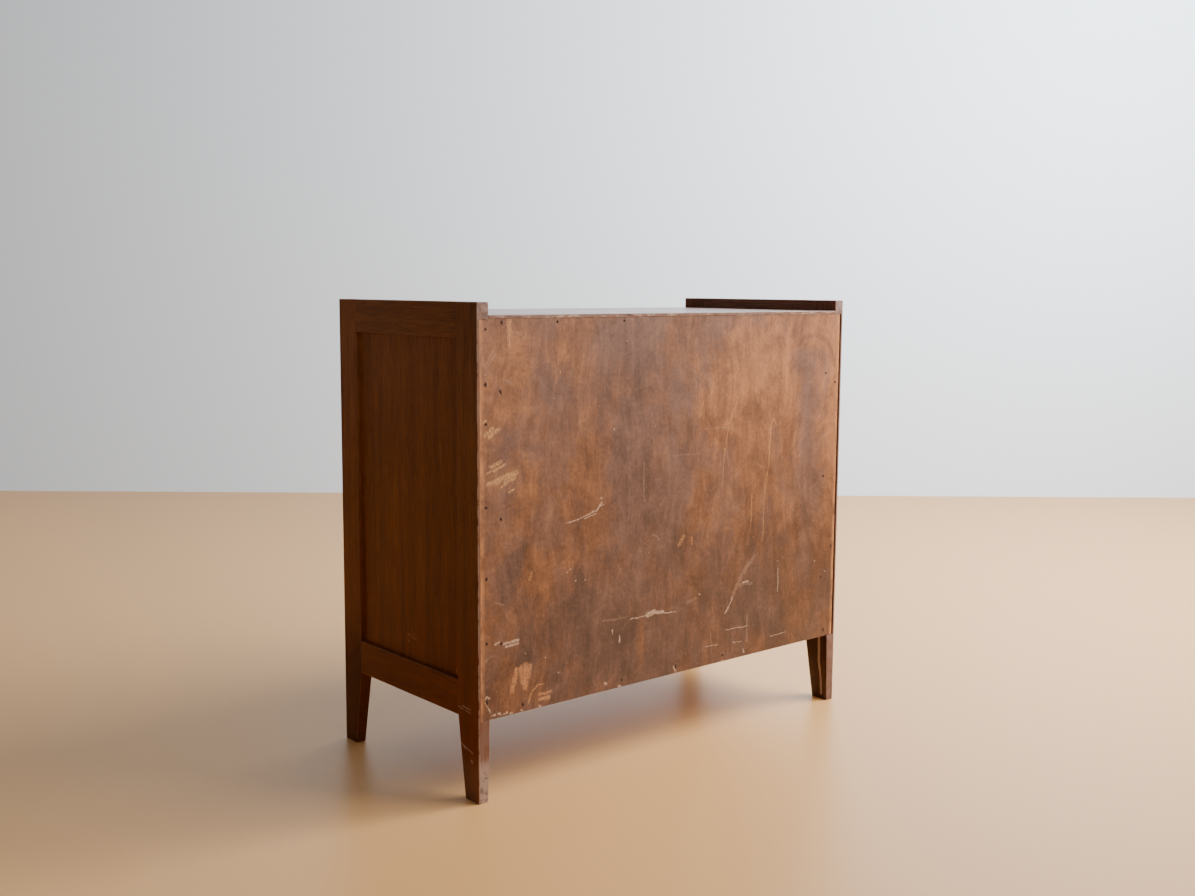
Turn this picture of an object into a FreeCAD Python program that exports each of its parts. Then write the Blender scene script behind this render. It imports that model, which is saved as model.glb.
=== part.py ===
# A chiffonier: a low chest of three drawers between two frame-and-panel ends.
#
# Millimetres, Z up. The drawers open towards -Y, the plywood back is at +Y, and +X is the right
# end for someone who stands in front. The origin is on the floor, under the middle of the whole
# piece with its knobs. The ends stand above the top board like low cheeks, and their posts run
# down past the case as tapered legs. The drawers hang on side runners.

import FreeCAD, Part
import os
import re
import Sketcher
from FreeCAD import Rotation, Vector

doc = FreeCAD.newDocument("Chiffonier")

# ---------------------------------------------------------------- sizes

SIZES = [
    # the case
    ("case_width", 982, "over both ends"),
    ("case_depth", 470, "over the posts, without the knobs"),
    ("case_height", 900, "floor to the top of the ends"),
    ("leg_clear", 152, "floor to the underside of the case"),
    ("end_rise", 22.5, "the ends stand this far above the top board"),
    ("end_thick", 25, "posts and rails of the ends"),
    ("end_round", 1.5, "rounding of the ends' outer edges"),
    ("post_width", 64, "posts, front to back"),
    ("foot_width", 42, "posts at the floor, front to back"),
    ("foot_thick", 20, "posts at the floor, across"),
    ("top_rail_height", 63, "upper rails of the ends"),
    ("bottom_rail_height", 66, "lower rails of the ends"),
    # joinery of the ends
    ("panel_thick", 6, "panels of the ends"),
    ("panel_recess", 8, "panels behind the outer face"),
    ("panel_groove", 8, "depth of the grooves for the panels"),
    ("panel_room", 1, "room for a panel to swell"),
    ("tenon_length", 22, "tenons of the ends' rails"),
    ("tenon_thick", 8, "tenons, across"),
    ("tenon_shoulder", 10, "tenons behind their rail's edges"),
    ("stub_web", 1.5, "wood left between a stub tenon and the next mortise"),
    ("stub_shoulder", 6, "stub tenons behind their rail's faces"),
    # top, back and rails between the ends
    ("top_thick", 20, "top board"),
    ("top_round", 2.5, "rounding of the top board's front edge"),
    ("top_housing", 6, "tongues of the top board, let into the ends"),
    ("top_shoulder", 5, "top board above its tongues"),
    ("housing_stop", 14, "solid wood in front of the housings"),
    ("back_thick", 5, "plywood back"),
    ("back_recess", 1, "the back lies this far inside its rabbets"),
    ("back_lip", 5, "wood outside the rabbets in the rear posts"),
    ("back_top_lip", 7, "top board's edge above the back"),
    ("back_right_gap", 0.3, "back to its rabbet, right"),
    ("back_left_gap", 3.2, "back to its rabbet, left"),
    ("front_rail_height", 22, "rail under the drawers"),
    ("front_rail_depth", 45, "rail under the drawers, front to back"),
    ("rear_rail_height", 30, "rail behind, at the foot of the back"),
    ("rear_rail_thick", 20, "rail behind, front to back"),
    ("block_leg", 18, "glue blocks, across and down"),
    ("block_length", 80, "glue blocks, front to back"),
    # drawers
    ("front_thick", 20, "drawer fronts"),
    ("front_round", 1.5, "rounding of the drawer fronts' faces"),
    ("front_side_gap", 2, "drawer front to post"),
    ("front_gap", 3, "drawer front to drawer front"),
    ("side_thick", 14, "drawer sides"),
    ("side_rise", 12, "lower edge of a side above its front's"),
    ("side_drop", 15, "upper edge of a side below its front's"),
    ("rear_room", 18, "closed drawer to the plywood back"),
    ("slot_depth", 9, "dovetail slots in the drawer fronts"),
    ("slot_neck", 7, "dovetail slots at their mouth"),
    ("slot_tail", 10, "dovetail slots at their bottom"),
    ("drawer_back_thick", 12, "drawer backs"),
    ("drawer_back_drop", 8, "drawer back below the sides"),
    ("tail_count", 4, "dovetails in a corner at the back of a drawer"),
    ("pin_narrow", 8, "pins at their narrow end"),
    ("tail_slope", 6, "dovetails slope 1 in this"),
    ("floor_thick", 4, "drawer bottoms"),
    ("floor_rise", 10, "drawer bottom above its sides' lower edge"),
    ("floor_groove", 6, "depth of the grooves for a drawer bottom"),
    ("floor_room", 0.5, "drawer bottom to the ends of its grooves"),
    # runners
    ("runner_reach", 40, "runners, from the posts inwards"),
    ("runner_height", 20, "runners"),
    ("runner_nose", 3, "chamfer at the runners' front ends"),
    ("groove_depth", 8, "grooves in the drawer sides"),
    ("groove_side_gap", 1, "runner to the bottom of its groove"),
    ("groove_top_gap", 0.3, "runner to the side that rests on it"),
    ("groove_low_gap", 0.8, "runner to the groove's lower face"),
    ("groove_stop", 18, "solid wood at the front of a drawer's groove"),
    ("stop_gap", 0.3, "closed drawer's groove to the runner's front end"),
    # knobs, screws and nails
    ("knob_reach", 27, "drawer front to the tip of a knob"),
    ("knob_diameter", 36, "turned knobs"),
    ("knob_foot", 22, "knobs where they meet the drawer front"),
    ("knob_neck", 15, "knobs at their waist"),
    ("knob_inset", 205, "end of a drawer front to a knob's middle"),
    ("knob_bite", 13, "screw inside a knob"),
    ("screw_diameter", 4, "screws"),
    ("screw_head", 8, "screw heads, across"),
    ("screw_head_thick", 2.4, "screw heads"),
    ("runner_screw_sink", 14, "runner screws sit this deep in the runners"),
    ("runner_screw_bite", 14, "runner screws in the posts"),
    ("runner_screw_inset", 15, "runner screws from the posts' inner edges"),
    ("nail_diameter", 2, "nails"),
    ("nail_head", 6, "nail heads, across"),
    ("nail_head_thick", 0.8, "nail heads"),
    ("nail_length", 24, "nails of the back"),
    ("post_nail_inset", 19, "nails in the posts, from the outer faces"),
    ("runner_nail_inset", 26, "nails in the runners' ends, from the posts"),
    ("rail_nail_rise", 14, "nails in the rear rail, above the panel's lower edge"),
    ("floor_nail_length", 18, "nails of the drawer bottoms"),
    ("hole_room", 0.1, "hole wider than its nail or screw"),
]

# Where the nails of the back were driven: by hand, so unevenly. Heights are shares of the panel's
# height from its top edge, and widths are shares of half the case's width.
RIGHT_POST_NAILS = (0.024, 0.158, 0.255, 0.461, 0.639, 0.803, 0.953)
LEFT_POST_NAILS = (0.207, 0.717)
TOP_EDGE_NAILS = (0.89, 0.635, 0.305)
REAR_RAIL_NAILS = (0.797, 0.303, 0.008, -0.267, -0.925)
FLOOR_NAILS = (-0.9, -0.45, 0, 0.45, 0.9)

DRAWERS = ("bottom", "middle", "top")
N = len(DRAWERS)

# Nails and screws are many and small, so their round parts are prisms with this many sides.
NAIL_SIDES = 6
SCREW_SIDES = 8

# Planes and lengths that follow from the sizes.
PLACES = [
    ("back_y", "(case_depth + knob_reach) / 2", "rear faces of the posts"),
    ("front_y", "back_y - case_depth", "front faces of the posts"),
    ("middle_y", "(front_y + back_y) / 2", "halfway through the case"),
    ("outer_x", "case_width / 2", "outer faces of the ends"),
    ("inner_x", "outer_x - end_thick", "inner faces of the ends"),
    ("rail_front_y", "front_y + post_width", "where the ends' rails begin"),
    ("rail_back_y", "back_y - post_width", "where they stop"),
    ("top_z", "case_height - end_rise", "upper face of the top board"),
    ("under_z", "top_z - top_thick", "its underside"),
    ("tongue_z", "top_z - top_shoulder", "upper face of its tongues"),
    ("top_rail_z", "case_height - top_rail_height", "underside of the upper rails"),
    ("low_rail_z", "leg_clear + bottom_rail_height", "upper edge of the lower rails"),
    ("panel_out_x", "outer_x - panel_recess", "outer face of an end panel"),
    ("panel_in_x", "panel_out_x - panel_thick", "its inner face"),
    ("tenon_in_x", "outer_x - (end_thick + tenon_thick) / 2", "inner face of a tenon"),
    ("tenon_out_x", "tenon_in_x + tenon_thick", "outer face of a tenon"),
    ("stub_length", "(end_thick - tenon_thick) / 2 - stub_web", "stub tenons"),
    ("sheet_out_y", "back_y - back_recess", "rear face of the plywood"),
    ("sheet_in_y", "sheet_out_y - back_thick", "its inner face"),
    ("sheet_top_z", "top_z - back_top_lip", "its upper edge"),
    ("opening_z", "leg_clear + front_rail_height", "floor of the drawers' opening"),
    ("front_height", f"(under_z - opening_z - {N + 1} * front_gap) / {N}", "a drawer front"),
    ("drawer_pitch", "front_height + front_gap", "drawer to drawer"),
    ("front_half", "inner_x - front_side_gap", "half a drawer front"),
    ("inside_y", "front_y + front_thick", "inner face of the drawer fronts"),
    ("side_out_x", "inner_x - runner_reach + groove_depth - groove_side_gap", "side, outside"),
    ("side_in_x", "side_out_x - side_thick", "side, inside"),
    ("side_mid_x", "(side_in_x + side_out_x) / 2", "side, middle"),
    ("groove_x", "side_out_x - groove_depth", "bottom of the runner's groove"),
    ("side_end_y", "sheet_in_y - rear_room", "rear end of a closed drawer"),
    ("runner_tip_x", "inner_x - runner_reach", "inner face of a runner"),
    ("runner_front_y", "inside_y + groove_stop + stop_gap", "front end of a runner"),
    ("knob_x", "front_half - knob_inset", "middle of a knob"),
]

sheet = doc.addObject("Spreadsheet::Sheet", "Sizes")
for row, (alias, value, meaning) in enumerate(SIZES, start=1):
    sheet.set(f"A{row}", meaning)
    sheet.set(f"B{row}", str(value))
    sheet.setAlias(f"B{row}", alias)
doc.recompute()

places = doc.addObject("Spreadsheet::Sheet", "Places")
SHEET_OF = {alias: "Sizes" for alias, value, meaning in SIZES}


def named(formula):
    """A formula with every alias led by the name of its sheet."""
    return re.sub(
        r"[A-Za-z_]\w*",
        lambda word: f"{SHEET_OF[word[0]]}.{word[0]}" if word[0] in SHEET_OF else word[0],
        str(formula),
    )


for row, (alias, formula, meaning) in enumerate(PLACES, start=1):
    places.set(f"A{row}", meaning)
    places.set(f"B{row}", "=" + named(formula))
    places.setAlias(f"B{row}", alias)
    SHEET_OF[alias] = "Places"
    doc.recompute()


def bind(thing, prop, formula):
    """Lets a formula of sizes drive a property."""
    thing.setExpression(prop, named(formula))


def number(formula):
    """What a formula of sizes comes to now."""
    result = places.evalExpression(named(formula))
    return float(getattr(result, "Value", result))


# ---------------------------------------------------------------- ways of making a piece


def box(name, x, y, z):
    """A block between two planes on each axis."""
    block = doc.addObject("Part::Box", name)
    for prop, axis, (low, high) in zip(("Length", "Width", "Height"), "xyz", (x, y, z)):
        bind(block, prop, f"({high}) - ({low})")
        bind(block, f"Placement.Base.{axis}", low)
    return block


def rod(name, axis, place, span, diameter, sides=NAIL_SIDES):
    """A thin round bar along an axis, as a prism. place holds its two other coordinates, in the
    order X, Y, Z."""
    prism = doc.addObject("Part::Prism", name)
    prism.Polygon = sides
    turn = {"x": Rotation(Vector(0, 1, 0), 90), "y": Rotation(Vector(1, 0, 0), -90), "z": Rotation()}
    prism.Placement.Rotation = turn[axis]
    low, high = span
    bind(prism, "Circumradius", f"({diameter}) / 2")
    bind(prism, "Height", f"({high}) - ({low})")
    others = [other for other in "xyz" if other != axis]
    for other, where in zip(others, place):
        bind(prism, f"Placement.Base.{other}", where)
    bind(prism, f"Placement.Base.{axis}", low)
    return prism


def screw_rod(name, axis, place, span, diameter):
    """The same for a screw, which is thicker."""
    return rod(name, axis, place, span, diameter, SCREW_SIDES)


def together(name, things):
    """One solid from several."""
    if len(things) == 1:
        return things[0]
    union = doc.addObject("Part::MultiFuse", name)
    union.Shapes = things
    return union


def cut(name, base, *tools):
    """base less every tool."""
    result = doc.addObject("Part::Cut", name)
    result.Base = base
    result.Tool = together(name + "_cuts", list(tools))
    return result


def group(name, things):
    """Several loose solids as one piece, such as a set of nails."""
    bundle = doc.addObject("Part::Compound", name)
    bundle.Links = things
    return bundle


def mirror(name, source, axis, middle="0"):
    """source seen in a mirror that stands across an axis."""
    image = doc.addObject("Part::Mirroring", name)
    image.Source = source
    image.Normal = {"x": Vector(1, 0, 0), "y": Vector(0, 1, 0)}[axis]
    bind(image, f"Base.{axis}", middle)
    return image


def rounded(name, base, radius, wanted):
    """base with a fillet on each edge whose middle and direction wanted() accepts."""
    doc.recompute()
    edges = [
        index
        for index, edge in enumerate(base.Shape.Edges, start=1)
        if wanted(edge.CenterOfMass, edge.tangentAt(edge.FirstParameter))
    ]
    size = number(radius)
    fillet = doc.addObject("Part::Fillet", name)
    fillet.Base = base
    fillet.Edges = [(index, size, size) for index in edges]
    return fillet


def near(value, formula):
    """Whether a coordinate lies on a plane."""
    return abs(value - number(formula)) < 0.01


def draw(sketch, corners):
    """Draws a closed outline of straight edges, each corner held by two dimensions. A corner on
    an axis of the sketch has "0" there and is held to the axis instead."""
    spots = [Vector(number(across), number(up), 0) for across, up in corners]
    for index, spot in enumerate(spots):
        sketch.addGeometry(Part.LineSegment(spots[index - 1], spot), False)
    for index, (corner, spot) in enumerate(zip(corners, spots)):
        following = (index + 1) % len(corners)
        sketch.addConstraint(Sketcher.Constraint("Coincident", index, 2, following, 1))
        ways = (("DistanceX", corner[0], spot.x, -2), ("DistanceY", corner[1], spot.y, -1))
        for kind, formula, value, axis in ways:
            if formula == "0":
                sketch.addConstraint(Sketcher.Constraint("PointOnObject", index, 2, axis))
            else:
                held = sketch.addConstraint(Sketcher.Constraint(kind, -1, 1, index, 2, value))
                bind(sketch, f"Constraints[{held}]", formula)


def outlined(name, plane, corners, offset="0"):
    """A body with one sketch on its own origin plane."""
    body = doc.addObject("PartDesign::Body", name)
    sketch = body.newObject("Sketcher::SketchObject", name + "_outline")
    base = next(f for f in body.Origin.OriginFeatures if f.Role == plane + "_Plane")
    sketch.AttachmentSupport = [(base, "")]
    sketch.MapMode = "FlatFace"
    bind(sketch, "AttachmentOffset.Base.z", offset)
    draw(sketch, corners)
    return body, sketch


def padded(name, plane, corners, span):
    """A body padded from an outline. span runs along X for YZ, along Y for XZ, along Z for XY."""
    low, high = span
    offset = f"-({high})" if plane == "XZ" else low
    body, sketch = outlined(name, plane, corners, offset)
    pad = body.newObject("PartDesign::Pad", name + "_pad")
    pad.Profile = sketch
    bind(pad, "Length", f"({high}) - ({low})")
    return body


PIECES = []


def piece(node, thing):
    """Gives a finished piece its name."""
    thing.Label = node
    PIECES.append((node, thing))
    return thing


# ---------------------------------------------------------------- the two ends


def rear_blank():
    """A right rear post before its joints are cut: straight behind, tapered below the case on the
    side that faces the other legs, with its outer edges rounded."""
    corners = [
        ("back_y", "0"),
        ("back_y", "case_height"),
        ("rail_back_y", "case_height"),
        ("rail_back_y", "leg_clear"),
        ("back_y - foot_width", "0"),
    ]
    post = padded("post_blank", "YZ", corners, ("inner_x", "outer_x"))

    def outer_edge(middle, way):
        upright = abs(way.z) > 0.99 and near(middle.y, "back_y")
        level = abs(way.z) < 0.01 and near(middle.z, "case_height")
        return upright or (level and not near(middle.y, "rail_back_y"))

    return rounded("post_rounded", post, "end_round", outer_edge)


def end_pieces():
    """The right end's five pieces with their joints, and the cuts that the posts share."""
    rear = rear_blank()
    front = mirror("front_blank", rear, "y", "middle_y")
    taper = padded(
        "foot_taper",
        "XZ",
        [("inner_x", "0"), ("outer_x - foot_thick", "0"), ("inner_x", "leg_clear")],
        ("front_y", "back_y"),
    )
    panel_y = ("rail_front_y - panel_groove", "rail_back_y + panel_groove")
    panel_z = ("low_rail_z - panel_groove", "top_rail_z + panel_groove")
    grooves = box("panel_grooves", ("panel_in_x", "panel_out_x"), panel_y, panel_z)
    housing = box(
        "top_housings",
        ("inner_x", "inner_x + top_housing"),
        ("front_y + housing_stop", "back_y"),
        ("under_z", "tongue_z"),
    )

    def tenon(name, z):
        low, high = z
        return box(
            name,
            ("tenon_in_x", "tenon_out_x"),
            ("rail_front_y - tenon_length", "rail_back_y + tenon_length"),
            (f"{low} + tenon_shoulder", f"{high} - tenon_shoulder"),
        )

    top_tenon = tenon("top_tenon", ("top_rail_z", "case_height"))
    low_tenon = tenon("low_tenon", ("leg_clear", "low_rail_z"))
    across = ("inner_x", "outer_x")
    between = ("rail_front_y", "rail_back_y")
    top_bar = box("top_bar", across, between, ("top_rail_z", "case_height"))
    low_bar = box("low_bar", across, between, ("leg_clear", "low_rail_z"))

    def upper_long_edge(middle, way):
        return abs(way.y) > 0.99 and near(middle.z, "case_height")

    top_bar = rounded("top_bar_rounded", top_bar, "end_round", upper_long_edge)
    top_bar = together("top_bar_tenoned", [top_bar, top_tenon])
    low_bar = together("low_bar_tenoned", [low_bar, low_tenon])

    rabbet = box(
        "back_rabbet",
        ("inner_x", "outer_x - back_lip"),
        ("sheet_in_y", "back_y"),
        ("leg_clear", "sheet_top_z"),
    )
    shared = [taper, grooves, housing, top_tenon, low_tenon, *RUNNER_SCREW_HOLES]
    return {
        "front_leg": cut("front_leg_cut", front, *shared, front_rail_stub()),
        "rear_leg": cut("rear_leg_cut", rear, *shared, rabbet, rear_rail_stub()),
        "top_rail": cut("top_rail_cut", top_bar, grooves, housing),
        "bottom_rail": cut("bottom_rail_cut", low_bar, grooves),
        "end_panel": box(
            "end_panel_board",
            ("panel_in_x", "panel_out_x"),
            (f"{panel_y[0]} + panel_room", f"{panel_y[1]} - panel_room"),
            (panel_z[0], f"{panel_z[1]} - panel_room"),
        ),
    }


# ---------------------------------------------------------------- rails, top and back

FRONT_RAIL_Y = ("front_y", "front_y + front_rail_depth")
FRONT_RAIL_Z = ("leg_clear", "opening_z")
REAR_RAIL_Y = ("sheet_in_y - rear_rail_thick", "sheet_in_y")
REAR_RAIL_Z = ("leg_clear", "leg_clear + rear_rail_height")


def inset(span, margin):
    """A span less a margin at both ends."""
    return (f"{span[0]} + {margin}", f"{span[1]} - {margin}")


def stub(name, y, z):
    """The two stub tenons of a rail between the ends, as one bar through the rail."""
    reach = "inner_x + stub_length"
    return box(name, (f"-({reach})", reach), inset(y, "stub_shoulder"), inset(z, "stub_shoulder"))


def front_rail_stub():
    return stub("front_rail_stub", FRONT_RAIL_Y, FRONT_RAIL_Z)


def rear_rail_stub():
    return stub("rear_rail_stub", REAR_RAIL_Y, REAR_RAIL_Z)


def front_rail():
    """The rail under the lowest drawer."""
    bar = box("front_rail_bar", ("-inner_x", "inner_x"), FRONT_RAIL_Y, FRONT_RAIL_Z)
    return together("front_rail_tenoned", [bar, front_rail_stub()])


def rear_rail(nail_holes):
    """The rail that the back's lower edge is nailed to."""
    bar = box("rear_rail_bar", ("-inner_x", "inner_x"), REAR_RAIL_Y, REAR_RAIL_Z)
    return cut("rear_rail_cut", together("rear_rail_tenoned", [bar, rear_rail_stub()]), nail_holes)


def top_board(nail_holes):
    """The top: a tongue at each end is let into a housing that stops short of the front, so that
    only the shoulder above it shows, and a rabbet below its rear edge takes the back."""
    reach = "inner_x + top_housing"
    depth = ("front_y", "back_y")
    board = box("top_blank", (f"-({reach})", reach), depth, ("under_z", "top_z"))
    beyond = ("inner_x", reach)
    notch = box("top_notch", beyond, ("front_y", "front_y + housing_stop"), ("under_z", "top_z"))
    shoulder = box("top_shoulders", beyond, depth, ("tongue_z", "top_z"))
    right_cuts = together("top_right_cuts", [notch, shoulder])
    rabbet = box(
        "top_rabbet",
        (f"-({reach})", reach),
        ("sheet_in_y", "back_y"),
        ("under_z", "sheet_top_z"),
    )
    shaped = cut("top_shaped", board, right_cuts, mirror("top_left_cuts", right_cuts, "x"), rabbet)

    def front_edge(middle, way):
        return abs(way.x) > 0.99 and near(middle.y, "front_y")

    return cut("top_cut", rounded("top_rounded", shaped, "top_round", front_edge), nail_holes)


def back_panel(nail_holes):
    """One sheet of plywood from post to post."""
    sheet_box = box(
        "back_sheet",
        ("-(outer_x - back_lip - back_left_gap)", "outer_x - back_lip - back_right_gap"),
        ("sheet_in_y", "sheet_out_y"),
        ("leg_clear", "sheet_top_z"),
    )
    return cut("back_cut", sheet_box, nail_holes)


def glue_blocks():
    """Three-cornered blocks in the angle of the top board and the ends."""
    corners = [("inner_x", "under_z"), ("inner_x - block_leg", "under_z"),
               ("inner_x", "under_z - block_leg")]
    blocks = []
    for share in (0.3, 0.7):
        middle = f"(front_y + {share} * case_depth)"
        span = (f"{middle} - block_length / 2", f"{middle} + block_length / 2")
        block = padded("glue_block", "XZ", corners, span)
        blocks += [block, mirror("glue_block_left", block, "x")]
    return group("blocks", blocks)


# ---------------------------------------------------------------- nails and screws


def back_nail_places():
    """(x, z) of every nail in the back, each tied to what it is driven into."""
    panel_height = "(sheet_top_z - leg_clear)"
    post_x = "outer_x - post_nail_inset"
    runner_x = "inner_x - runner_nail_inset"
    spots = [(post_x, f"sheet_top_z - {share} * {panel_height}") for share in RIGHT_POST_NAILS]
    spots += [
        (f"-({post_x})", f"sheet_top_z - {share} * {panel_height}") for share in LEFT_POST_NAILS
    ]
    for index in range(N):
        spots += [(runner_x, drawer_middle(index)), (f"-({runner_x})", drawer_middle(index))]
    spots += [(f"{share} * outer_x", "(under_z + sheet_top_z) / 2") for share in TOP_EDGE_NAILS]
    spots += [(f"{share} * outer_x", "leg_clear + rail_nail_rise") for share in REAR_RAIL_NAILS]
    return spots


def back_nails_and_holes():
    """The back's nails, and their holes as one tool."""
    nails, holes = [], []
    for x, z in back_nail_places():
        tip = "sheet_out_y - nail_length"
        head = ("sheet_out_y", "sheet_out_y + nail_head_thick")
        nails += [
            together(
                "back_nail",
                [
                    rod("nail_shank", "y", (x, z), (tip, head[1]), "nail_diameter"),
                    rod("nail_head", "y", (x, z), head, "nail_head"),
                ],
            )
        ]
        holes += [
            rod("nail_hole", "y", (x, z), (tip, "sheet_out_y"), "nail_diameter + hole_room")
        ]
    return group("nails", nails), together("nail_holes", holes)


def drawer_low(index):
    """Lower edge of a drawer's front, counted from the bottom drawer."""
    return f"(opening_z + front_gap + {index} * drawer_pitch)"


def drawer_middle(index):
    """Half-way up a drawer's front, where its runners lie."""
    return f"({drawer_low(index)} + front_height / 2)"


def runner_screw_places():
    """(y, z) of the screws of the right-hand runners: one in each post, for every drawer."""
    rows = ("rail_front_y - runner_screw_inset", "rail_back_y + runner_screw_inset")
    return [(y, drawer_middle(index)) for index in range(N) for y in rows]


def runner_screw(y, z):
    """A screw through a right-hand runner into its post."""
    head = ("runner_tip_x + runner_screw_sink", "runner_tip_x + runner_screw_sink + screw_head_thick")
    tip = "inner_x + runner_screw_bite"
    return together(
        "runner_screw",
        [
            screw_rod("screw_shank", "x", (y, z), (head[0], tip), "screw_diameter"),
            screw_rod("screw_head", "x", (y, z), head, "screw_head"),
        ],
    )


def runner_screw_hole(y, z):
    """The hole in a post for a runner's screw."""
    tip = "inner_x + runner_screw_bite"
    return screw_rod("screw_hole", "x", (y, z), ("runner_tip_x", tip), "screw_diameter + hole_room")


RUNNER_SCREW_HOLES = [runner_screw_hole(y, z) for y, z in runner_screw_places()]


# ---------------------------------------------------------------- runners and drawers


def runner(index, nail_holes):
    """A right-hand runner: a bar across the posts, chamfered where it enters the drawer's groove,
    with its screws let in and its rear end against the plywood."""
    middle = drawer_middle(index)
    low, high = f"{middle} - runner_height / 2", f"{middle} + runner_height / 2"
    corners = [
        ("runner_front_y", f"{low} + runner_nose"),
        ("runner_front_y + runner_nose", low),
        ("sheet_in_y", low),
        ("sheet_in_y", high),
        ("runner_front_y + runner_nose", high),
        ("runner_front_y", f"{high} - runner_nose"),
    ]
    bar = padded("runner_bar", "YZ", corners, ("runner_tip_x", "inner_x"))
    sinks = []
    for y, z in runner_screw_places():
        if z == middle:
            seat = "runner_tip_x + runner_screw_sink + screw_head_thick"
            sink = ("runner_tip_x", seat)
            sinks += [screw_rod("sink", "x", (y, z), sink, "screw_head + hole_room")]
            sinks += [runner_screw_hole(y, z)]
    return cut("runner_cut", bar, *sinks, nail_holes)


def drawer_front(index):
    """The front: two dovetail slots behind for the sides, a groove for the bottom, and a hole for
    each knob's screw."""
    low = drawer_low(index)
    high = f"{low} + front_height"
    board = box("front_board", ("-front_half", "front_half"), ("front_y", "inside_y"), (low, high))

    def face_edge(middle, way):
        return near(middle.y, "front_y")

    board = rounded("front_rounded", board, "front_round", face_edge)
    slot = dovetail("front_slot", (low, side_top(index)))
    groove = box(
        "front_groove",
        ("-(side_in_x + floor_groove)", "side_in_x + floor_groove"),
        ("inside_y - floor_groove", "inside_y"),
        floor_span(index),
    )
    hole = screw_rod(
        "knob_hole",
        "y",
        ("knob_x", drawer_middle(index)),
        ("front_y", "inside_y"),
        "screw_diameter + hole_room",
    )
    return cut(
        "front_cut",
        board,
        slot,
        mirror("front_slot_left", slot, "x"),
        groove,
        hole,
        mirror("knob_hole_left", hole, "x"),
    )


def side_low(index):
    return f"({drawer_low(index)} + side_rise)"


def side_top(index):
    return f"({drawer_low(index)} + front_height - side_drop)"


def floor_span(index):
    """Lower and upper face of a drawer's bottom."""
    low = f"{side_low(index)} + floor_rise"
    return (low, f"{low} + floor_thick")


def dovetail(name, z):
    """The sliding dovetail that joins a right-hand side to its front."""
    corners = [
        ("side_mid_x - slot_neck / 2", "inside_y"),
        ("side_mid_x + slot_neck / 2", "inside_y"),
        ("side_mid_x + slot_tail / 2", "inside_y - slot_depth"),
        ("side_mid_x - slot_tail / 2", "inside_y - slot_depth"),
    ]
    return padded(name, "XY", corners, z)


def tailed_board(index):
    """A right-hand side with its dovetails, before its grooves. Tails are widest at the rear end.
    Below the drawer's back the side runs on, because the bottom slides in under the back."""
    low, high = side_low(index), side_top(index)
    tails = int(number("tail_count"))
    bottom, top = floor_span(index)[1], f"{high} - drawer_back_drop"
    pitch = f"(({top}) - ({bottom})) / {tails}"
    root_y = "side_end_y - drawer_back_thick"
    flare = "drawer_back_thick / tail_slope"
    corners = [("inside_y", low), ("side_end_y", low), ("side_end_y", bottom), (root_y, bottom)]
    for tail in range(tails):
        lower = f"{bottom} + {tail} * {pitch} + pin_narrow / 2"
        upper = f"{bottom} + {tail + 1} * {pitch} - pin_narrow / 2"
        corners += [
            (root_y, f"{lower} + {flare}"),
            ("side_end_y", lower),
            ("side_end_y", upper),
            (root_y, f"{upper} - {flare}"),
        ]
    corners += [(root_y, top), ("side_end_y", top), ("side_end_y", high), ("inside_y", high)]
    return padded("side_board", "YZ", corners, ("side_in_x", "side_out_x"))


def runner_groove(index):
    """The groove outside a right-hand side: it is ploughed after the corner is glued, so it runs
    out through the pins of the back, and it stops short of the front."""
    middle = drawer_middle(index)
    low = f"{middle} - runner_height / 2 - groove_low_gap"
    high = f"{middle} + runner_height / 2 + groove_top_gap"
    length = ("inside_y + groove_stop", "side_end_y")
    return box("runner_groove", ("groove_x", "side_out_x"), length, (low, high))


def drawer_side(index, board, groove):
    """A right-hand side: tails behind, a sliding dovetail in front, outside the runner's groove
    and inside a groove for the bottom."""
    tongue = dovetail("side_tongue", (side_low(index), side_top(index)))
    floor_slot = box(
        "side_floor_groove",
        ("side_in_x", "side_in_x + floor_groove"),
        ("inside_y - slot_depth", "side_end_y"),
        floor_span(index),
    )
    joined = together("side_joined", [board, tongue])
    return cut("side_cut", joined, groove, floor_slot)


def drawer_back(index, board, groove, nail_holes):
    """The back: pins at both ends, cut to fit the tails."""
    blank = box(
        "back_board",
        ("-side_out_x", "side_out_x"),
        ("side_end_y - drawer_back_thick", "side_end_y"),
        (floor_span(index)[1], f"{side_top(index)} - drawer_back_drop"),
    )
    right_cuts = together("right_tails", [board, groove])
    return cut("back_pins", blank, right_cuts, mirror("left_tails", right_cuts, "x"), nail_holes)


def drawer_bottom(index, nail_holes):
    """The bottom: held in grooves on three sides and nailed up into the back."""
    reach = "side_in_x + floor_groove - floor_room"
    blank = box(
        "floor_sheet",
        (f"-({reach})", reach),
        ("inside_y - floor_groove + floor_room", "side_end_y"),
        floor_span(index),
    )
    return cut("floor_cut", blank, nail_holes)


def floor_nails_and_holes(index):
    """The nails that hold a drawer's bottom to its back, and their holes."""
    y = "side_end_y - drawer_back_thick / 2"
    under = floor_span(index)[0]
    tip = f"{under} + floor_nail_length"
    head = (f"{under} - nail_head_thick", under)
    nails, holes = [], []
    for share in FLOOR_NAILS:
        x = f"{share} * side_in_x"
        shank = rod("floor_shank", "z", (x, y), (head[0], tip), "nail_diameter")
        nails += [together("floor_nail", [shank, rod("floor_head", "z", (x, y), head, "nail_head")])]
        holes += [rod("floor_hole", "z", (x, y), (under, tip), "nail_diameter + hole_room")]
    return group("floor_nails", nails), together("floor_holes", holes)


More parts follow.
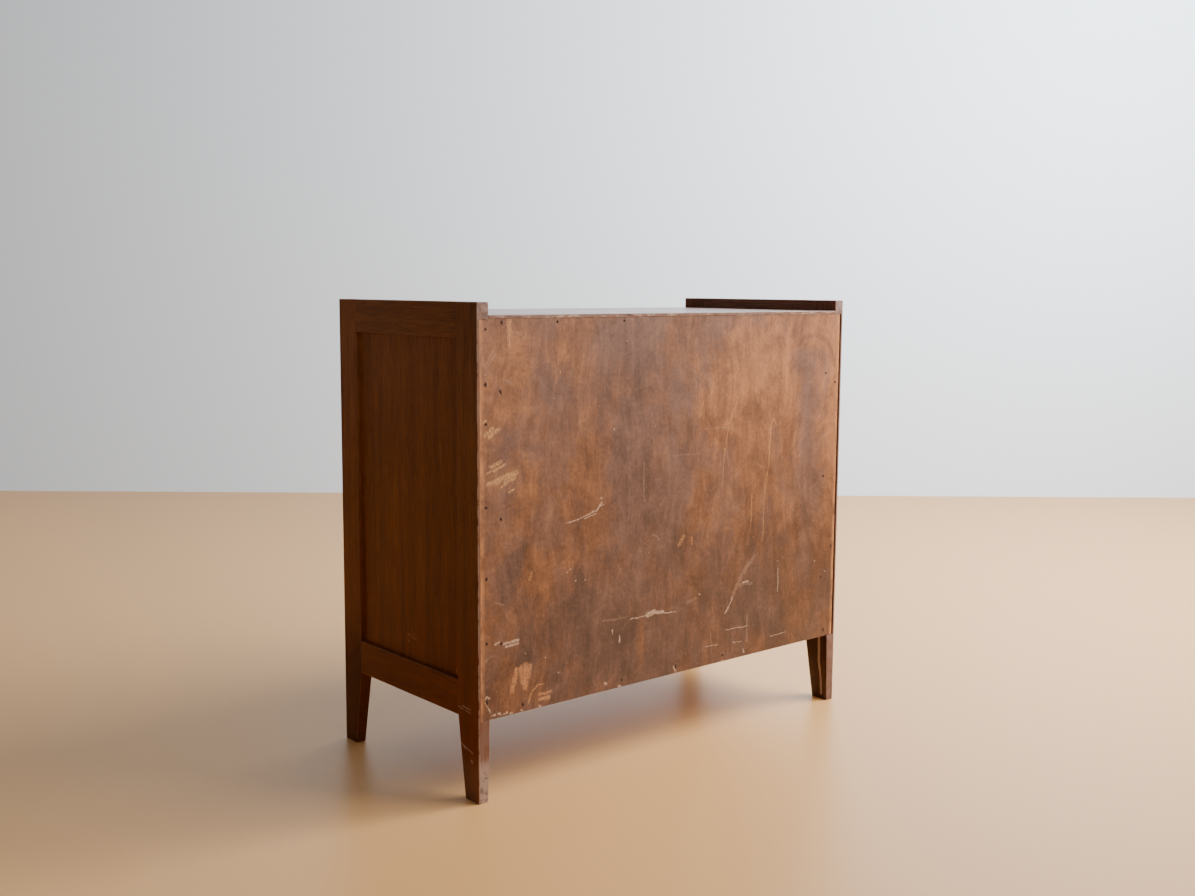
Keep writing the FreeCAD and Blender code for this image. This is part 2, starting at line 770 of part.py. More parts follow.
def knobs(index):
    """A drawer's two turned knobs: from the drawer front outwards each has a foot, a waist, a
    flare up to the rim and a bevel round its flat face. Behind it is bored for its screw."""
    corners = [
        ("0", "0"),
        ("knob_foot / 2", "0"),
        ("knob_neck / 2", "-0.35 * knob_reach"),
        ("knob_diameter / 2", "-0.64 * knob_reach"),
        ("knob_diameter / 2", "-0.8 * knob_reach"),
        ("0.4 * knob_diameter", "-knob_reach"),
        ("0", "-knob_reach"),
    ]
    body, sketch = outlined("knob_turning", "XY", corners)
    turning = body.newObject("PartDesign::Revolution", "knob_revolution")
    turning.Profile = sketch
    turning.ReferenceAxis = (sketch, ["V_Axis"])
    turning.Angle = 360
    bind(body, "Placement.Base.x", "knob_x")
    bind(body, "Placement.Base.y", "front_y")
    bind(body, "Placement.Base.z", drawer_middle(index))
    bore = screw_rod(
        "knob_bore",
        "y",
        ("knob_x", drawer_middle(index)),
        ("front_y - knob_bite", "front_y"),
        "screw_diameter + hole_room",
    )
    bored = cut("knob_bored", body, bore)
    return group("knob_pair", [bored, mirror("left_knob", bored, "x")])


def knob_screws(index):
    """The two screws that hold a drawer's knobs, from inside the drawer."""
    place = ("knob_x", drawer_middle(index))
    head = ("inside_y", "inside_y + screw_head_thick")
    screw = together(
        "knob_screw",
        [
            screw_rod("knob_shank", "y", place, ("front_y - knob_bite", head[1]), "screw_diameter"),
            screw_rod("knob_screw_head", "y", place, head, "screw_head"),
        ],
    )
    return group("knob_screw_pair", [screw, mirror("knob_screw_left", screw, "x")])


def pair(node, right):
    """A right-hand piece and its mirror image on the left."""
    piece("right_" + node, right)
    piece("left_" + node, mirror("left_" + node, right, "x"))


def build_drawer(index, name):
    """One drawer: eight pieces."""
    lead = name + "_drawer_"
    board = tailed_board(index)
    nails, holes = floor_nails_and_holes(index)
    groove = runner_groove(index)
    side = drawer_side(index, board, groove)
    piece(lead + "front", drawer_front(index))
    piece(lead + "right_side", side)
    piece(lead + "left_side", mirror("left_side", side, "x"))
    piece(lead + "back", drawer_back(index, board, groove, holes))
    piece(lead + "bottom", drawer_bottom(index, holes))
    piece(lead + "bottom_nails", nails)
    piece(lead + "knobs", knobs(index))
    piece(lead + "knob_screws", knob_screws(index))


# ---------------------------------------------------------------- the whole chest


def build_case():
    """Ends, top, back, rails, runners, nails, screws and glue blocks."""
    nails, holes = back_nails_and_holes()
    for name, part in end_pieces().items():
        if name == "rear_leg":
            piece("right_rear_leg", cut("right_rear_leg", part, holes))
            image = mirror("left_rear_leg_plain", part, "x")
            piece("left_rear_leg", cut("left_rear_leg", image, holes))
        else:
            pair(name, part)
    piece("top_board", top_board(holes))
    piece("back_panel", back_panel(holes))
    piece("front_bottom_rail", front_rail())
    piece("rear_bottom_rail", rear_rail(holes))
    for index, name in enumerate(DRAWERS):
        right = runner(index, holes)
        piece(f"{name}_right_runner", right)
        piece(f"{name}_left_runner", mirror("left_runner", right, "x"))
    right_screws = [runner_screw(y, z) for y, z in runner_screw_places()]
    left_screws = [mirror("left_screw", screw, "x") for screw in right_screws]
    piece("runner_screws", group("screws", right_screws + left_screws))
    piece("back_nails", nails)
    piece("glue_blocks", glue_blocks())


build_case()
for place, drawer in enumerate(DRAWERS):
    build_drawer(place, drawer)
doc.recompute()

# ---------------------------------------------------------------- checks and files

failed = [o.Name for o in doc.Objects if {"Invalid", "Error"} & set(o.State)]
if failed:
    raise RuntimeError("these objects failed: " + ", ".join(failed))
for node, thing in PIECES:
    if thing.Shape.isNull() or not thing.Shape.isValid() or not thing.Shape.Solids:
        raise RuntimeError(node + " has no valid solid")

os.makedirs("parts", exist_ok=True)
for node, thing in PIECES:
    thing.Shape.exportStep(f"parts/{node}.step")
    size = thing.Shape.BoundBox
    print(
        f"{node:30s} {len(thing.Shape.Solids):3d} solids  "
        f"{size.XLength:7.1f} x {size.YLength:6.1f} x {size.ZLength:6.1f}  "
        f"{thing.Shape.Volume / 1000:8.1f} cm3"
    )
print(len(PIECES), "pieces")
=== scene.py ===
# %% [markdown]
# # A chiffonier, turned to show its back
#
# This lesson dresses a finished CAD model of a low chest of drawers. The CAD already has every
# board, tenon, nail and dovetail at its true size, so nothing here changes a size or a place.
# What is left is the craft of looks: varnish that is brown in the light and nearly black in the
# shade, a plywood back with fifty years of knocks on it, edges that hands and brooms have worn,
# and a camera and light that show them. Metres throughout, Z up, and the plywood faces +Y. Right
# and left are those of someone in front of the drawers, so the right end is at +X.

import math
from collections import namedtuple

import bmesh
import bpy
from mathutils import Matrix, Vector


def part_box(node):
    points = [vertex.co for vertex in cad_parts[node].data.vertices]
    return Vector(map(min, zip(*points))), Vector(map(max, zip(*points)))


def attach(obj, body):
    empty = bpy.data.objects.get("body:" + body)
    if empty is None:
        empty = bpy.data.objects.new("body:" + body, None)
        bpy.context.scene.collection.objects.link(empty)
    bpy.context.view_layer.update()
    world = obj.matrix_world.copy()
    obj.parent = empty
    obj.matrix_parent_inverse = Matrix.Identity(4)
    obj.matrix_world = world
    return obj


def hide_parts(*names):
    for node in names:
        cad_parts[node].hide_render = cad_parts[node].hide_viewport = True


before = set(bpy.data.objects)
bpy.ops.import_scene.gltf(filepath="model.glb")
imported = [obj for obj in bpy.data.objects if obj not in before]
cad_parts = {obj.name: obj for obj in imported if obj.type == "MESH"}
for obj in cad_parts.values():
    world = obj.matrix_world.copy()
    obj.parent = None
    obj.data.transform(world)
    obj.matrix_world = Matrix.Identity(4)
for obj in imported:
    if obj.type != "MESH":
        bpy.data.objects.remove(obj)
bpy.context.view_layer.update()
MM = 0.001
DRAWERS = ("bottom", "middle", "top")

# %% [markdown]
# ## Where the plywood is
#
# A nail has to sit on the face of its board, so the place of that face is read from the board
# and not typed in.


# %% Corners of the sheet
def low(name):
    """The lowest corner of a piece."""
    return Vector(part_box(name)[0])


def high(name):
    """The highest corner of a piece."""
    return Vector(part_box(name)[1])


SHEET_LOW, SHEET_HIGH = low("back_panel"), high("back_panel")
print(f"back panel {SHEET_HIGH.x - SHEET_LOW.x:.3f} wide, top at {SHEET_HIGH.z:.4f}")

# %% [markdown]
# ## The camera
#
# The chest is seen from behind its right end, a little above the top board, with a lens slightly
# longer than normal, so that upright edges stay nearly upright. A camera looks along its own -Z
# with +Y up, so the surest way to aim it is to build its three axes: the way it looks, the way
# its right hand points, and their cross product. A last small roll levels it.

# %% Camera
LENS, SENSOR = 40.25, 36  # millimetres
EYE = Vector((1.834, 2.1385, 0.930))
HEADING, DIP, ROLL = math.radians(220.57), math.radians(-6.95), math.radians(0.34)


def aimed(eye, heading, dip, roll):
    """The matrix of a camera at eye. heading turns from +Y towards +X, and dip is below level."""
    ahead = Vector(
        (math.sin(heading) * math.cos(dip), math.cos(heading) * math.cos(dip), math.sin(dip))
    )
    right = ahead.cross(Vector((0, 0, 1))).normalized()
    up = right.cross(ahead)
    tilted_right = right * math.cos(roll) + up * math.sin(roll)
    tilted_up = up * math.cos(roll) - right * math.sin(roll)
    axes = Matrix((tilted_right, tilted_up, -ahead)).transposed().to_4x4()
    return Matrix.Translation(eye) @ axes


camera = bpy.data.objects.new("camera", bpy.data.cameras.new("camera"))
camera.data.lens = LENS
camera.data.sensor_width = SENSOR
camera.data.sensor_fit = "HORIZONTAL"
camera.matrix_world = aimed(EYE, HEADING, DIP, ROLL)
bpy.context.scene.collection.objects.link(camera)
bpy.context.scene.camera = camera
print("camera at", tuple(round(v, 3) for v in EYE))

# %% [markdown]
# ## Floor, wall and light
#
# The room is reduced to a pale floor, a pale backdrop and soft light. One broad lamp stands where
# a window would be, on the side that the plywood faces, so the back is lit at a slant and its
# scratches show, while the end turns away from it and goes dark. Studio lamps are area lights:
# the larger they are, the softer the shadow under the chest.


# %% Floor and backdrop
def plain_paint(name, colour, roughness):
    """A matt finish for the stage."""
    paint = bpy.data.materials.new(name)
    paint.use_nodes = True
    shader = paint.node_tree.nodes["Principled BSDF"]
    shader.inputs["Base Color"].default_value = (*colour, 1)
    shader.inputs["Roughness"].default_value = roughness
    return paint


def flat_stage(name, corners, paint):
    """One flat stage piece."""
    mesh = bpy.data.meshes.new(name)
    mesh.from_pydata(corners, [], [tuple(range(len(corners)))])
    mesh.materials.append(paint)
    thing = bpy.data.objects.new(name, mesh)
    bpy.context.scene.collection.objects.link(thing)


FLOOR_TONE, WALL_TONE = (0.67, 0.35, 0.12), (0.77, 0.86, 0.95)
FLOOR_ROUGHNESS, WALL_ROUGHNESS = 0.38, 0.9
AHEAD = Vector((math.sin(HEADING), math.cos(HEADING), 0))
ACROSS = Vector((AHEAD.y, -AHEAD.x, 0))  # towards the right of the view
UP = Vector((0, 0, 1))
WALL_GAP = 3.1  # from the middle of the chest to the wall behind it
WALL_HALF, WALL_HEIGHT = 8.0, 6.0
FLOOR_REACH = 14.0  # a wide round floor has a level horizon from every side
RIM_SIDES = 64
turns = [math.tau * step / RIM_SIDES for step in range(RIM_SIDES)]
rim = [Vector((math.cos(turn), math.sin(turn), 0)) * FLOOR_REACH for turn in turns]
flat_stage("floor", rim, plain_paint("floor paint", FLOOR_TONE, FLOOR_ROUGHNESS))
foot_of_wall = [AHEAD * WALL_GAP + ACROSS * reach for reach in (-WALL_HALF, WALL_HALF)]
head_of_wall = [corner + UP * WALL_HEIGHT for corner in reversed(foot_of_wall)]
wall_paint = plain_paint("wall paint", WALL_TONE, WALL_ROUGHNESS)
flat_stage("wall", foot_of_wall + head_of_wall, wall_paint)
print("stage ready, right of the view is", tuple(round(v, 3) for v in ACROSS))


# %% Lamps
def area_lamp(name, place, target, size, watts, colour):
    """A square soft lamp at place that faces target. It lights, but isn't itself seen."""
    data = bpy.data.lights.new(name, "AREA")
    data.shape = "SQUARE"
    data.size = size
    data.energy = watts
    data.color = colour
    lamp = bpy.data.objects.new(name, data)
    turn = (Vector(target) - Vector(place)).to_track_quat("-Z", "Y")
    lamp.matrix_world = Matrix.Translation(place) @ turn.to_matrix().to_4x4()
    lamp.visible_camera = False
    bpy.context.scene.collection.objects.link(lamp)


CHEST_MIDDLE = Vector((0, 0, 0.5))
WALL_MIDDLE = ACROSS * 0.4 + AHEAD * WALL_GAP + UP * 1.4
window = ACROSS * 2.6 - AHEAD * 0.4 + UP * 2.3
ceiling = ACROSS * 1.1 - AHEAD * 0.7 + UP * 3.1
beside_wall = ACROSS * 2.6 + AHEAD * 0.9 + UP * 2.6
area_lamp("window", window, CHEST_MIDDLE, size=1.8, watts=108, colour=(1, 0.97, 0.93))
area_lamp("ceiling bounce", ceiling, CHEST_MIDDLE, size=2.6, watts=22, colour=(0.95, 0.97, 1))
area_lamp("wall wash", beside_wall, WALL_MIDDLE, size=2.0, watts=310, colour=(0.9, 0.96, 1))
print("lamps ready")

# %% [markdown]
# The world fills the shadows. It is brighter on the window's side than on the other, as a room
# is, so the end of the chest that turns away from the window has little to reflect and its
# varnish stays deep brown.

# %% World
DIM_SIDE, BRIGHT_SIDE = (0.17, 0.145, 0.125, 1), (0.9, 0.93, 0.97, 1)
WORLD_STRENGTH = 0.56
world = bpy.data.worlds.new("room")
world.use_nodes = True
nodes, links = world.node_tree.nodes, world.node_tree.links
direction = nodes.new("ShaderNodeTexCoord").outputs["Generated"]
sideways = nodes.new("ShaderNodeVectorMath")
sideways.operation = "DOT_PRODUCT"
sideways.inputs[1].default_value = ACROSS
links.new(direction, sideways.inputs[0])
ramp = nodes.new("ShaderNodeMapRange")
ramp.inputs["From Min"].default_value, ramp.inputs["From Max"].default_value = -0.7, 0.6
links.new(sideways.outputs["Value"], ramp.inputs["Value"])
blend = nodes.new("ShaderNodeMix")
blend.data_type = "RGBA"
blend.inputs[6].default_value, blend.inputs[7].default_value = DIM_SIDE, BRIGHT_SIDE
links.new(ramp.outputs[0], blend.inputs[0])
links.new(blend.outputs[2], nodes["Background"].inputs["Color"])
nodes["Background"].inputs["Strength"].default_value = WORLD_STRENGTH
bpy.context.scene.world = world
print("world ready")

# %% [markdown]
# ## Small tools for making finishes
#
# A finish in Blender is a tree of nodes. Written out in full, each node takes three or four
# lines, which hides the idea. These helpers add one node a line: `put` adds any node, `fill`
# fills or links its sockets, and the rest are the few kinds that wood needs, named for what they
# do.


# %% Node helpers
def fill(tree, node, sockets):
    """Fills a node's sockets. A value is a number, a colour or another node's output."""
    for socket, value in sockets.items():
        if isinstance(value, bpy.types.NodeSocket):
            tree.links.new(value, node.inputs[socket])
        else:
            node.inputs[socket].default_value = value


def put(tree, kind, sockets=None, **settings):
    """Adds a shader node with its settings and sockets."""
    made = tree.nodes.new("ShaderNode" + kind)
    for name, value in settings.items():
        setattr(made, name, value)
    fill(tree, made, sockets or {})
    return made


def calc(tree, operation, first, second=0.0, limit=False):
    """One sum on two numbers. With limit, the result stays between 0 and 1."""
    numbers = {0: first, 1: second}
    return put(tree, "Math", numbers, operation=operation, use_clamp=limit).outputs[0]


def times(tree, first, second):
    """One number times another."""
    return calc(tree, "MULTIPLY", first, second)


def plus(tree, first, second):
    """One number and another."""
    return calc(tree, "ADD", first, second)


def vector_calc(tree, operation, first, second):
    """One sum on two vectors."""
    return put(tree, "VectorMath", {0: first, 1: second}, operation=operation).outputs[0]


def stretched(tree, place, factors):
    """A place with each axis scaled. A factor below 1 draws noise out long that way."""
    return vector_calc(tree, "MULTIPLY", place, factors)


def pushed(tree, push, reach, place):
    """A place moved by a push, as far as reach on each axis."""
    parts = {0: push, 1: reach, 2: place}
    return put(tree, "VectorMath", parts, operation="MULTIPLY_ADD").outputs[0]


def eased(tree, value, start, end):
    """0 before start, 1 after end, and a smooth step between."""
    sockets = {"Value": value, "From Min": start, "From Max": end}
    return put(tree, "MapRange", sockets, interpolation_type="SMOOTHSTEP").outputs[0]


def noise(tree, place, scale, detail=4.0, rough=0.55, warp=0.0):
    """Cloudy noise from 0 to 1, mostly near a half."""
    sockets = {
        "Vector": place, "Scale": scale, "Detail": detail, "Roughness": rough, "Distortion": warp
    }
    return put(tree, "TexNoise", sockets).outputs[0]


print("number and noise helpers ready")


# %% Colour and surface helpers
def mixed(tree, share, first, second, blend="MIX"):
    """Two colours mixed by a share."""
    node = put(tree, "Mix", {0: share, 6: first, 7: second}, data_type="RGBA", blend_type=blend)
    return node.outputs[2]


def tinted(tree, colour, mask, amount, tint):
    """A colour with a tint over it where the mask is."""
    if not isinstance(tint, bpy.types.NodeSocket):
        tint = (*tint, 1)
    return mixed(tree, times(tree, mask, amount), colour, tint)


def tones(tree, value, stops):
    """A value turned into a colour by a ramp of (place, colour) stops."""
    ramp = put(tree, "ValToRGB", {"Fac": value})
    band = ramp.color_ramp
    while len(band.elements) < len(stops):
        band.elements.new(0.5)
    for element, (place, colour) in zip(band.elements, stops):
        element.position = place
        element.color = (*colour, 1)
    return ramp.outputs[0]


def raised(tree, height, strength, distance):
    """A normal tilted by a height. The distance is in millimetres."""
    sockets = {"Height": height, "Strength": strength, "Distance": distance * MM}
    return put(tree, "Bump", sockets).outputs[0]


def split(tree, vector):
    """The X, Y and Z of a place or a direction."""
    return put(tree, "SeparateXYZ", {0: vector}).outputs


def facing(tree):
    """The X, Y and Z of the way a face looks."""
    return split(tree, put(tree, "TexCoord").outputs["Normal"])


def squarely(tree, way):
    """1 where a face looks straight that way, 0 where it looks well aside of it."""
    return eased(tree, way, 0.6, 0.8)


def finish_start(name):
    """A new finish: the material, its tree, its main shader, and the place on the piece."""
    material = bpy.data.materials.new(name)
    material.use_nodes = True
    tree = material.node_tree
    place = put(tree, "TexCoord").outputs["Object"]
    return material, tree, tree.nodes["Principled BSDF"], place


print("colour and surface helpers ready")

# %% [markdown]
# ## Dark varnish over straight grain
#
# The ends, legs, rails and drawer fronts are a reddish hardwood under a brown varnish. Grain is
# noise pulled out long along the board: squeeze the coordinate that runs with the grain and the
# blobs become streaks. Three widths of streak work together: broad bands of colour, fibres that
# can just be seen, and open pores that hold dark varnish. A picture of wood could be wrapped
# round the boards instead, but it would repeat, and end up running across the rails. Here each
# board says which way its grain runs.

# %% Grain
LONG_WAY = {"X": (0.035, 1, 1), "Y": (1, 0.035, 1), "Z": (1, 1, 0.035)}
SWAY = (0.012, 0.012, 0.012)
Grain = namedtuple("Grain", "bands fibres pores")


def streaks(tree, place, way):
    """Grain along one axis: broad bands, fine fibres and pores, each from 0 to 1."""
    along = stretched(tree, place, LONG_WAY[way])
    bent = pushed(tree, noise(tree, place, 3.0, 2), SWAY, along)
    bands = noise(tree, bent, 34, 5, 0.6)
    fibres = noise(tree, bent, 420, 3, 0.6)
    pores = eased(tree, noise(tree, bent, 950, 2, 0.5), 0.42, 0.34)
    return Grain(bands, fibres, pores)


# painted light by height: a pale, cool sheen on the upper half, and painted shade that leaves the
# lower half darker and redder
PAINTED_SHEEN_AND_SHADE_BY_HEIGHT = [(0.2, (0.88, 0.56, 0.2)), (0.5, (0.99, 0.9, 0.72)), (0.8, (1.08, 1.22, 1.65))]


def varnish_colour(tree, place, way, deep, warm):
    """The colour of varnished wood, its grain and its broad cloudiness, with a painted sheen high
    up and painted shade low down.
    """
    grain = streaks(tree, place, way)
    broad = noise(tree, place, 2.6, 3)
    tone = times(tree, grain.fibres, 0.4)
    tone = plus(tree, tone, times(tree, grain.bands, 0.32))
    tone = plus(tree, tone, times(tree, broad, 0.28))
    middle = tuple((d + w) / 2 for d, w in zip(deep, warm))
    colour = tones(tree, tone, [(0.36, deep), (0.5, middle), (0.64, warm)])
    colour = tinted(tree, colour, grain.pores, 0.55, [d * 0.4 for d in deep])
    # painted sheen towards the top and painted shade towards the floor
    painted_sheen_and_shade = tones(tree, split(tree, place)["Z"], PAINTED_SHEEN_AND_SHADE_BY_HEIGHT)
    return mixed(tree, 1.0, colour, painted_sheen_and_shade, "MULTIPLY"), grain, broad


print("grain helpers ready")


# %% Varnish
def varnish(tree, shader, colour, grain, broad, roughness, coat, shine):
    """Gloss with dull patches, and pores that sink a little."""
    gloss = plus(tree, times(tree, broad, 0.16), roughness - 0.08)
    height = calc(tree, "SUBTRACT", times(tree, grain.fibres, 0.5), grain.pores)
    fill(tree, shader, {
        "Base Color": colour,
        "Roughness": gloss,
        "Normal": raised(tree, height, 0.25, 0.2),
        "Coat Weight": coat,
        "Coat Roughness": 0.2,
        "Specular IOR Level": shine,
    })


def shaded_face(tree, place, colour, fibres, inner_shade):
    """The face that looks towards +X in painted shade, with darker tones of its own, darkest near
    the floor.
    """
    looks_right = squarely(tree, facing(tree)["X"])
    shade = tones(tree, fibres, [(0.35, inner_shade[0]), (0.65, inner_shade[1])])
    # painted shade, deepest near the floor
    lower = tones(tree, split(tree, place)["Z"], [(0.2, (0.3, 0.25, 0.2)), (0.8, (1, 1, 1))])
    return mixed(tree, looks_right, colour, mixed(tree, 1.0, shade, lower, "MULTIPLY"))


def varnished(name, way, deep, warm, roughness=0.36, coat=0.04, shine=0.14, inner_shade=None):
    """Brown varnish over wood whose grain runs one way, from a deep to a warm tone."""
    material, tree, shader, place = finish_start(name)
    colour, grain, broad = varnish_colour(tree, place, way, deep, warm)
    if inner_shade:
        colour = shaded_face(tree, place, colour, grain.fibres, inner_shade)
    varnish(tree, shader, colour, grain, broad, roughness, coat, shine)
    return material


DEEP, WARM = (0.1, 0.032, 0.007), (0.27, 0.097, 0.021)
# the front and the left end face the lamps more squarely, so their stain is a shade darker
SUNNY_SIDE = (0.08, 0.027, 0.0085), (0.2, 0.073, 0.021)
# the left end's inner faces, which look towards +X, are seen over the top and past the legs; these
# tones paint them in shade
INNER_RAIL_SHADE = (0.124, 0.061, 0.043), (0.27, 0.128, 0.086)
right_rail = varnished("varnished right rail", "Y", DEEP, WARM)
left_rail = varnished("varnished left rail", "Y", *SUNNY_SIDE)
left_top_rail = varnished("varnished left top rail", "Y", *SUNNY_SIDE, inner_shade=INNER_RAIL_SHADE)
front_finish = varnished("varnished front", "X", *SUNNY_SIDE)
print("varnished:", right_rail.name, left_rail.name, left_top_rail.name, front_finish.name)

# %% [markdown]
# ## The polished top
#
# The top board had the best finish: polish rubbed until the room shows in it. Seen at a low angle
# nearly all of its light is reflection, so its colour matters less than its roughness. Low
# roughness with faint smears from dusters reads as old polish, and a mirror-like one as plastic.
# Its rear edge was never polished, and it is chipped where the plywood was levered off and on.

# %% Polished top
TOP_DEEP, TOP_WARM = (0.09, 0.027, 0.008), (0.22, 0.075, 0.022)
RAW_EDGE, EDGE_STAIN, EDGE_CHIP = (0.23, 0.12, 0.08), (0.06, 0.025, 0.015), (0.5, 0.33, 0.24)


def polished_top():
    """Glossy on top, dull and chipped on the rear edge."""
    material, tree, shader, place = finish_start("polished top")
    colour, grain, broad = varnish_colour(tree, place, "X", TOP_DEEP, TOP_WARM)
    looks_back = squarely(tree, facing(tree)["Y"])
    flecks = noise(tree, stretched(tree, place, (0.35, 1, 1)), 130, 4, 0.7)
    chips = times(tree, looks_back, eased(tree, flecks, 0.52, 0.66))
    colour = tinted(tree, colour, looks_back, 0.75, RAW_EDGE)
    stains = times(tree, looks_back, eased(tree, flecks, 0.46, 0.34))
    colour = tinted(tree, colour, stains, 0.8, EDGE_STAIN)
    colour = tinted(tree, colour, chips, 0.7, EDGE_CHIP)
    smears = noise(tree, stretched(tree, place, (1, 0.2, 1)), 11, 4, 0.6)
    fill(tree, shader, {
        "Base Color": colour,
        "Roughness": plus(tree, times(tree, smears, 0.22), 0.2),
        "Normal": raised(tree, grain.fibres, 0.1, 0.1),
        "Coat Weight": 0.2,
        "Coat Roughness": 0.12,
    })
    return material


top_finish = polished_top()
print(top_finish.name)

# %% [markdown]
# ## Marks on the plywood
#
# Most of the story is in the scratches, scuffs and bare patches on the back. Each is a stroke:
# a line between two points with a width, frayed by noise. The distance from a place to a line is
# a short sum, so one node group can do it, and every mark is one use of that group with its own
# points. Painting the marks on an image would be quicker, but a stroke stays sharp however near
# the camera comes, and stays put when the panel changes size.


# %% One stroke
def stroke_group():
    """A group that gives 1 on a line from Start to End and 0 further than Width from it."""
    group = bpy.data.node_groups.new("stroke", "ShaderNodeTree")
    kinds = {"Place": "Vector", "Start": "Vector", "End": "Vector", "Width": "Float"}
    for name, kind in kinds.items():
        group.interface.new_socket(name=name, in_out="INPUT", socket_type="NodeSocket" + kind)
    group.interface.new_socket(name="Mask", in_out="OUTPUT", socket_type="NodeSocketFloat")
    given = group.nodes.new("NodeGroupInput")
    place, start, end, width = (given.outputs[name] for name in kinds)
    along = vector_calc(group, "SUBTRACT", end, start)
    away = vector_calc(group, "SUBTRACT", place, start)
    onto = put(group, "VectorMath", {0: away, 1: along}, operation="DOT_PRODUCT").outputs["Value"]
    whole = put(group, "VectorMath", {0: along, 1: along}, operation="DOT_PRODUCT")
    share = calc(group, "MAXIMUM", calc(group, "DIVIDE", onto, whole.outputs["Value"]), 0.0)
    share = calc(group, "MINIMUM", share, 1.0)
    scaled = put(group, "VectorMath", {0: along, "Scale": share}, operation="SCALE").outputs[0]
    gap = put(group, "VectorMath", {0: away, 1: scaled}, operation="DISTANCE").outputs["Value"]
    mask = eased(group, calc(group, "DIVIDE", gap, width), 1.0, 0.35)
    result = group.nodes.new("NodeGroupOutput")
    group.links.new(mask, result.inputs["Mask"])
    return group


STROKE = stroke_group()
STUB = 0.1  # millimetres added to each line, so that a single speck has some length


def strokes(tree, place, marks):
    """The strongest of several strokes at a place. A mark is (x, z, x, z, width) in mm."""
    total = None
    for x0, z0, x1, z1, width in marks:
        sockets = {
            "Place": place,
            "Start": (x0 * MM, z0 * MM, 0),
            "End": ((x1 + STUB) * MM, z1 * MM, 0),
            "Width": width * MM,
        }
        mask = put(tree, "Group", sockets, node_tree=STROKE).outputs["Mask"]
        total = mask if total is None else calc(tree, "MAXIMUM", total, mask)
    return total


print("stroke group has", len(STROKE.nodes), "nodes")

# %% [markdown]
# ## Where the marks are
#
# Heights are from the floor and sideways places from the middle of the chest, in millimetres, so
# that a mark can be found on the real panel with a rule. Pale scratches and single specks bit
# into the wood, faint ones only dulled the varnish, and dents let the orange wood show. Scuffs,
# bare patches and chips lost the stain as well. Dark marks are old water, but one is a painted
# shadow along the long dent, and cracks run in from the edges.

# %% Lists of marks
SCRATCHES = [
    # the long curved one, left of the middle, with a twin above it
    (286, 492, 262, 496, 1.2), (262, 496, 239, 501, 1.5), (239, 501, 216, 508, 2.4),
    (216, 508, 204, 522, 2.2), (212, 514, 199, 518, 1.6), (245, 495, 218, 501, 1.4),
    # level, low in the middle, widest where it began
    (127, 284, 86, 284, 1.5), (82, 285, 62, 289, 6.5), (62, 287, 40, 284, 4.2),
    (39, 283, 6, 279, 1.5), (156, 256, 156, 243, 2.4), (175, 270, 174, 263, 1.6),
    # two dashes by the right post
    (455, 289, 443, 293, 2.2), (434, 287, 402, 289, 3.2), (430, 281, 402, 283, 2.8),
    # the foot of the slanting one, and short lines low on the left side of the middle
    (-158, 284, -142, 258, 2.0), (-146, 263, -137, 254, 2.8), (-205, 312, -190, 311, 2.4),
    (-139, 217, -209, 216, 1.1), (-79, 192, -116, 191, 1.1), (-164, 187, -190, 185, 1.0),
    (-277, 182, -329, 182, 0.9), (-298, 328, -299, 276, 1.2), (-193, 168, -196, 160, 1.8),
]
FAINT = [
    # the slanting one, broad and greyish, and its side stroke
    (-224, 363, -210, 354, 4.5), (-208, 352, -190, 333, 9.0), (-190, 333, -171, 307, 8.0),
    (-171, 307, -155, 282, 6.0), (-174, 309, -216, 306, 4.5), (-204, 207, -205, 183, 4.6),
    # level, to both sides of the middle one
    (199, 291, 139, 289, 2.6), (-26, 294, -51, 297, 4.0), (291, 491, 262, 494, 2.6),
    # upright rubs low on the left
    (-204, 236, -205, 206, 3.0), (-96, 218, -97, 176, 1.8), (96, 590, 95, 515, 2.4),
    # short curls and level rubs
    (-40, 765, -44, 730, 2.2), (-67, 644, -135, 643, 1.6), (20, 597, -56, 595, 1.4),
    (72, 446, 60, 440, 2.4), (60, 440, 54, 432, 1.8), (457, 365, 433, 360, 2.4),
    (475, 262, 469, 267, 2.0), (469, 267, 457, 269, 2.0), (160, 392, 152, 376, 2.2),
    # pale strokes that branch from the upper corner
    (472, 785, 466, 801, 3.0), (466, 801, 457, 814, 3.2), (481, 806, 476, 790, 3.0),
    (464, 792, 450, 809, 2.6), (472, 776, 469, 755, 3.4), (414, 846, 398, 845, 3.0),
    (398, 845, 387, 834, 3.4), (433, 765, 417, 757, 4.6),
]
DENTS = [
    # a dent that runs down the left third from a hook, with the orange wood showing
    (-283, 640, -276, 652, 2.6), (-276, 652, -267, 647, 2.4), (-267, 636, -262, 560, 3.4),
    (-262, 560, -252, 495, 2.4), (-250, 520, -248, 395, 2.0), (-212, 500, -211, 438, 2.0),
    # figure lines that swing round beside it
    (-172, 720, -160, 690, 2.6), (-160, 690, -141, 655, 3.0), (-141, 655, -131, 610, 2.4),
    (-128, 600, -122, 520, 2.2), (-64, 700, -52, 668, 2.2), (-214, 720, -226, 690, 2.2),
    # a slanting nick in the middle, and an upright one to its right in the view
    (-15, 431, -2, 416, 7.0), (-36, 425, -38, 413, 4.0), (371, 410, 375, 398, 5.0),
]
SCUFFS = [
    # three loose groups up the right post
    (474, 667, 456, 679, 4.2), (466, 664, 446, 676, 5.2), (478, 690, 472, 694, 2.4),
    (462, 611, 440, 619, 4.6), (455, 604, 430, 613, 3.8), (470, 600, 458, 606, 2.2),
    (468, 581, 440, 589, 4.6), (448, 583, 422, 594, 6.6), (428, 588, 406, 597, 7.6),
    (432, 579, 408, 588, 4.6), (438, 573, 422, 581, 3.4), (422, 562, 410, 566, 2.6),
]
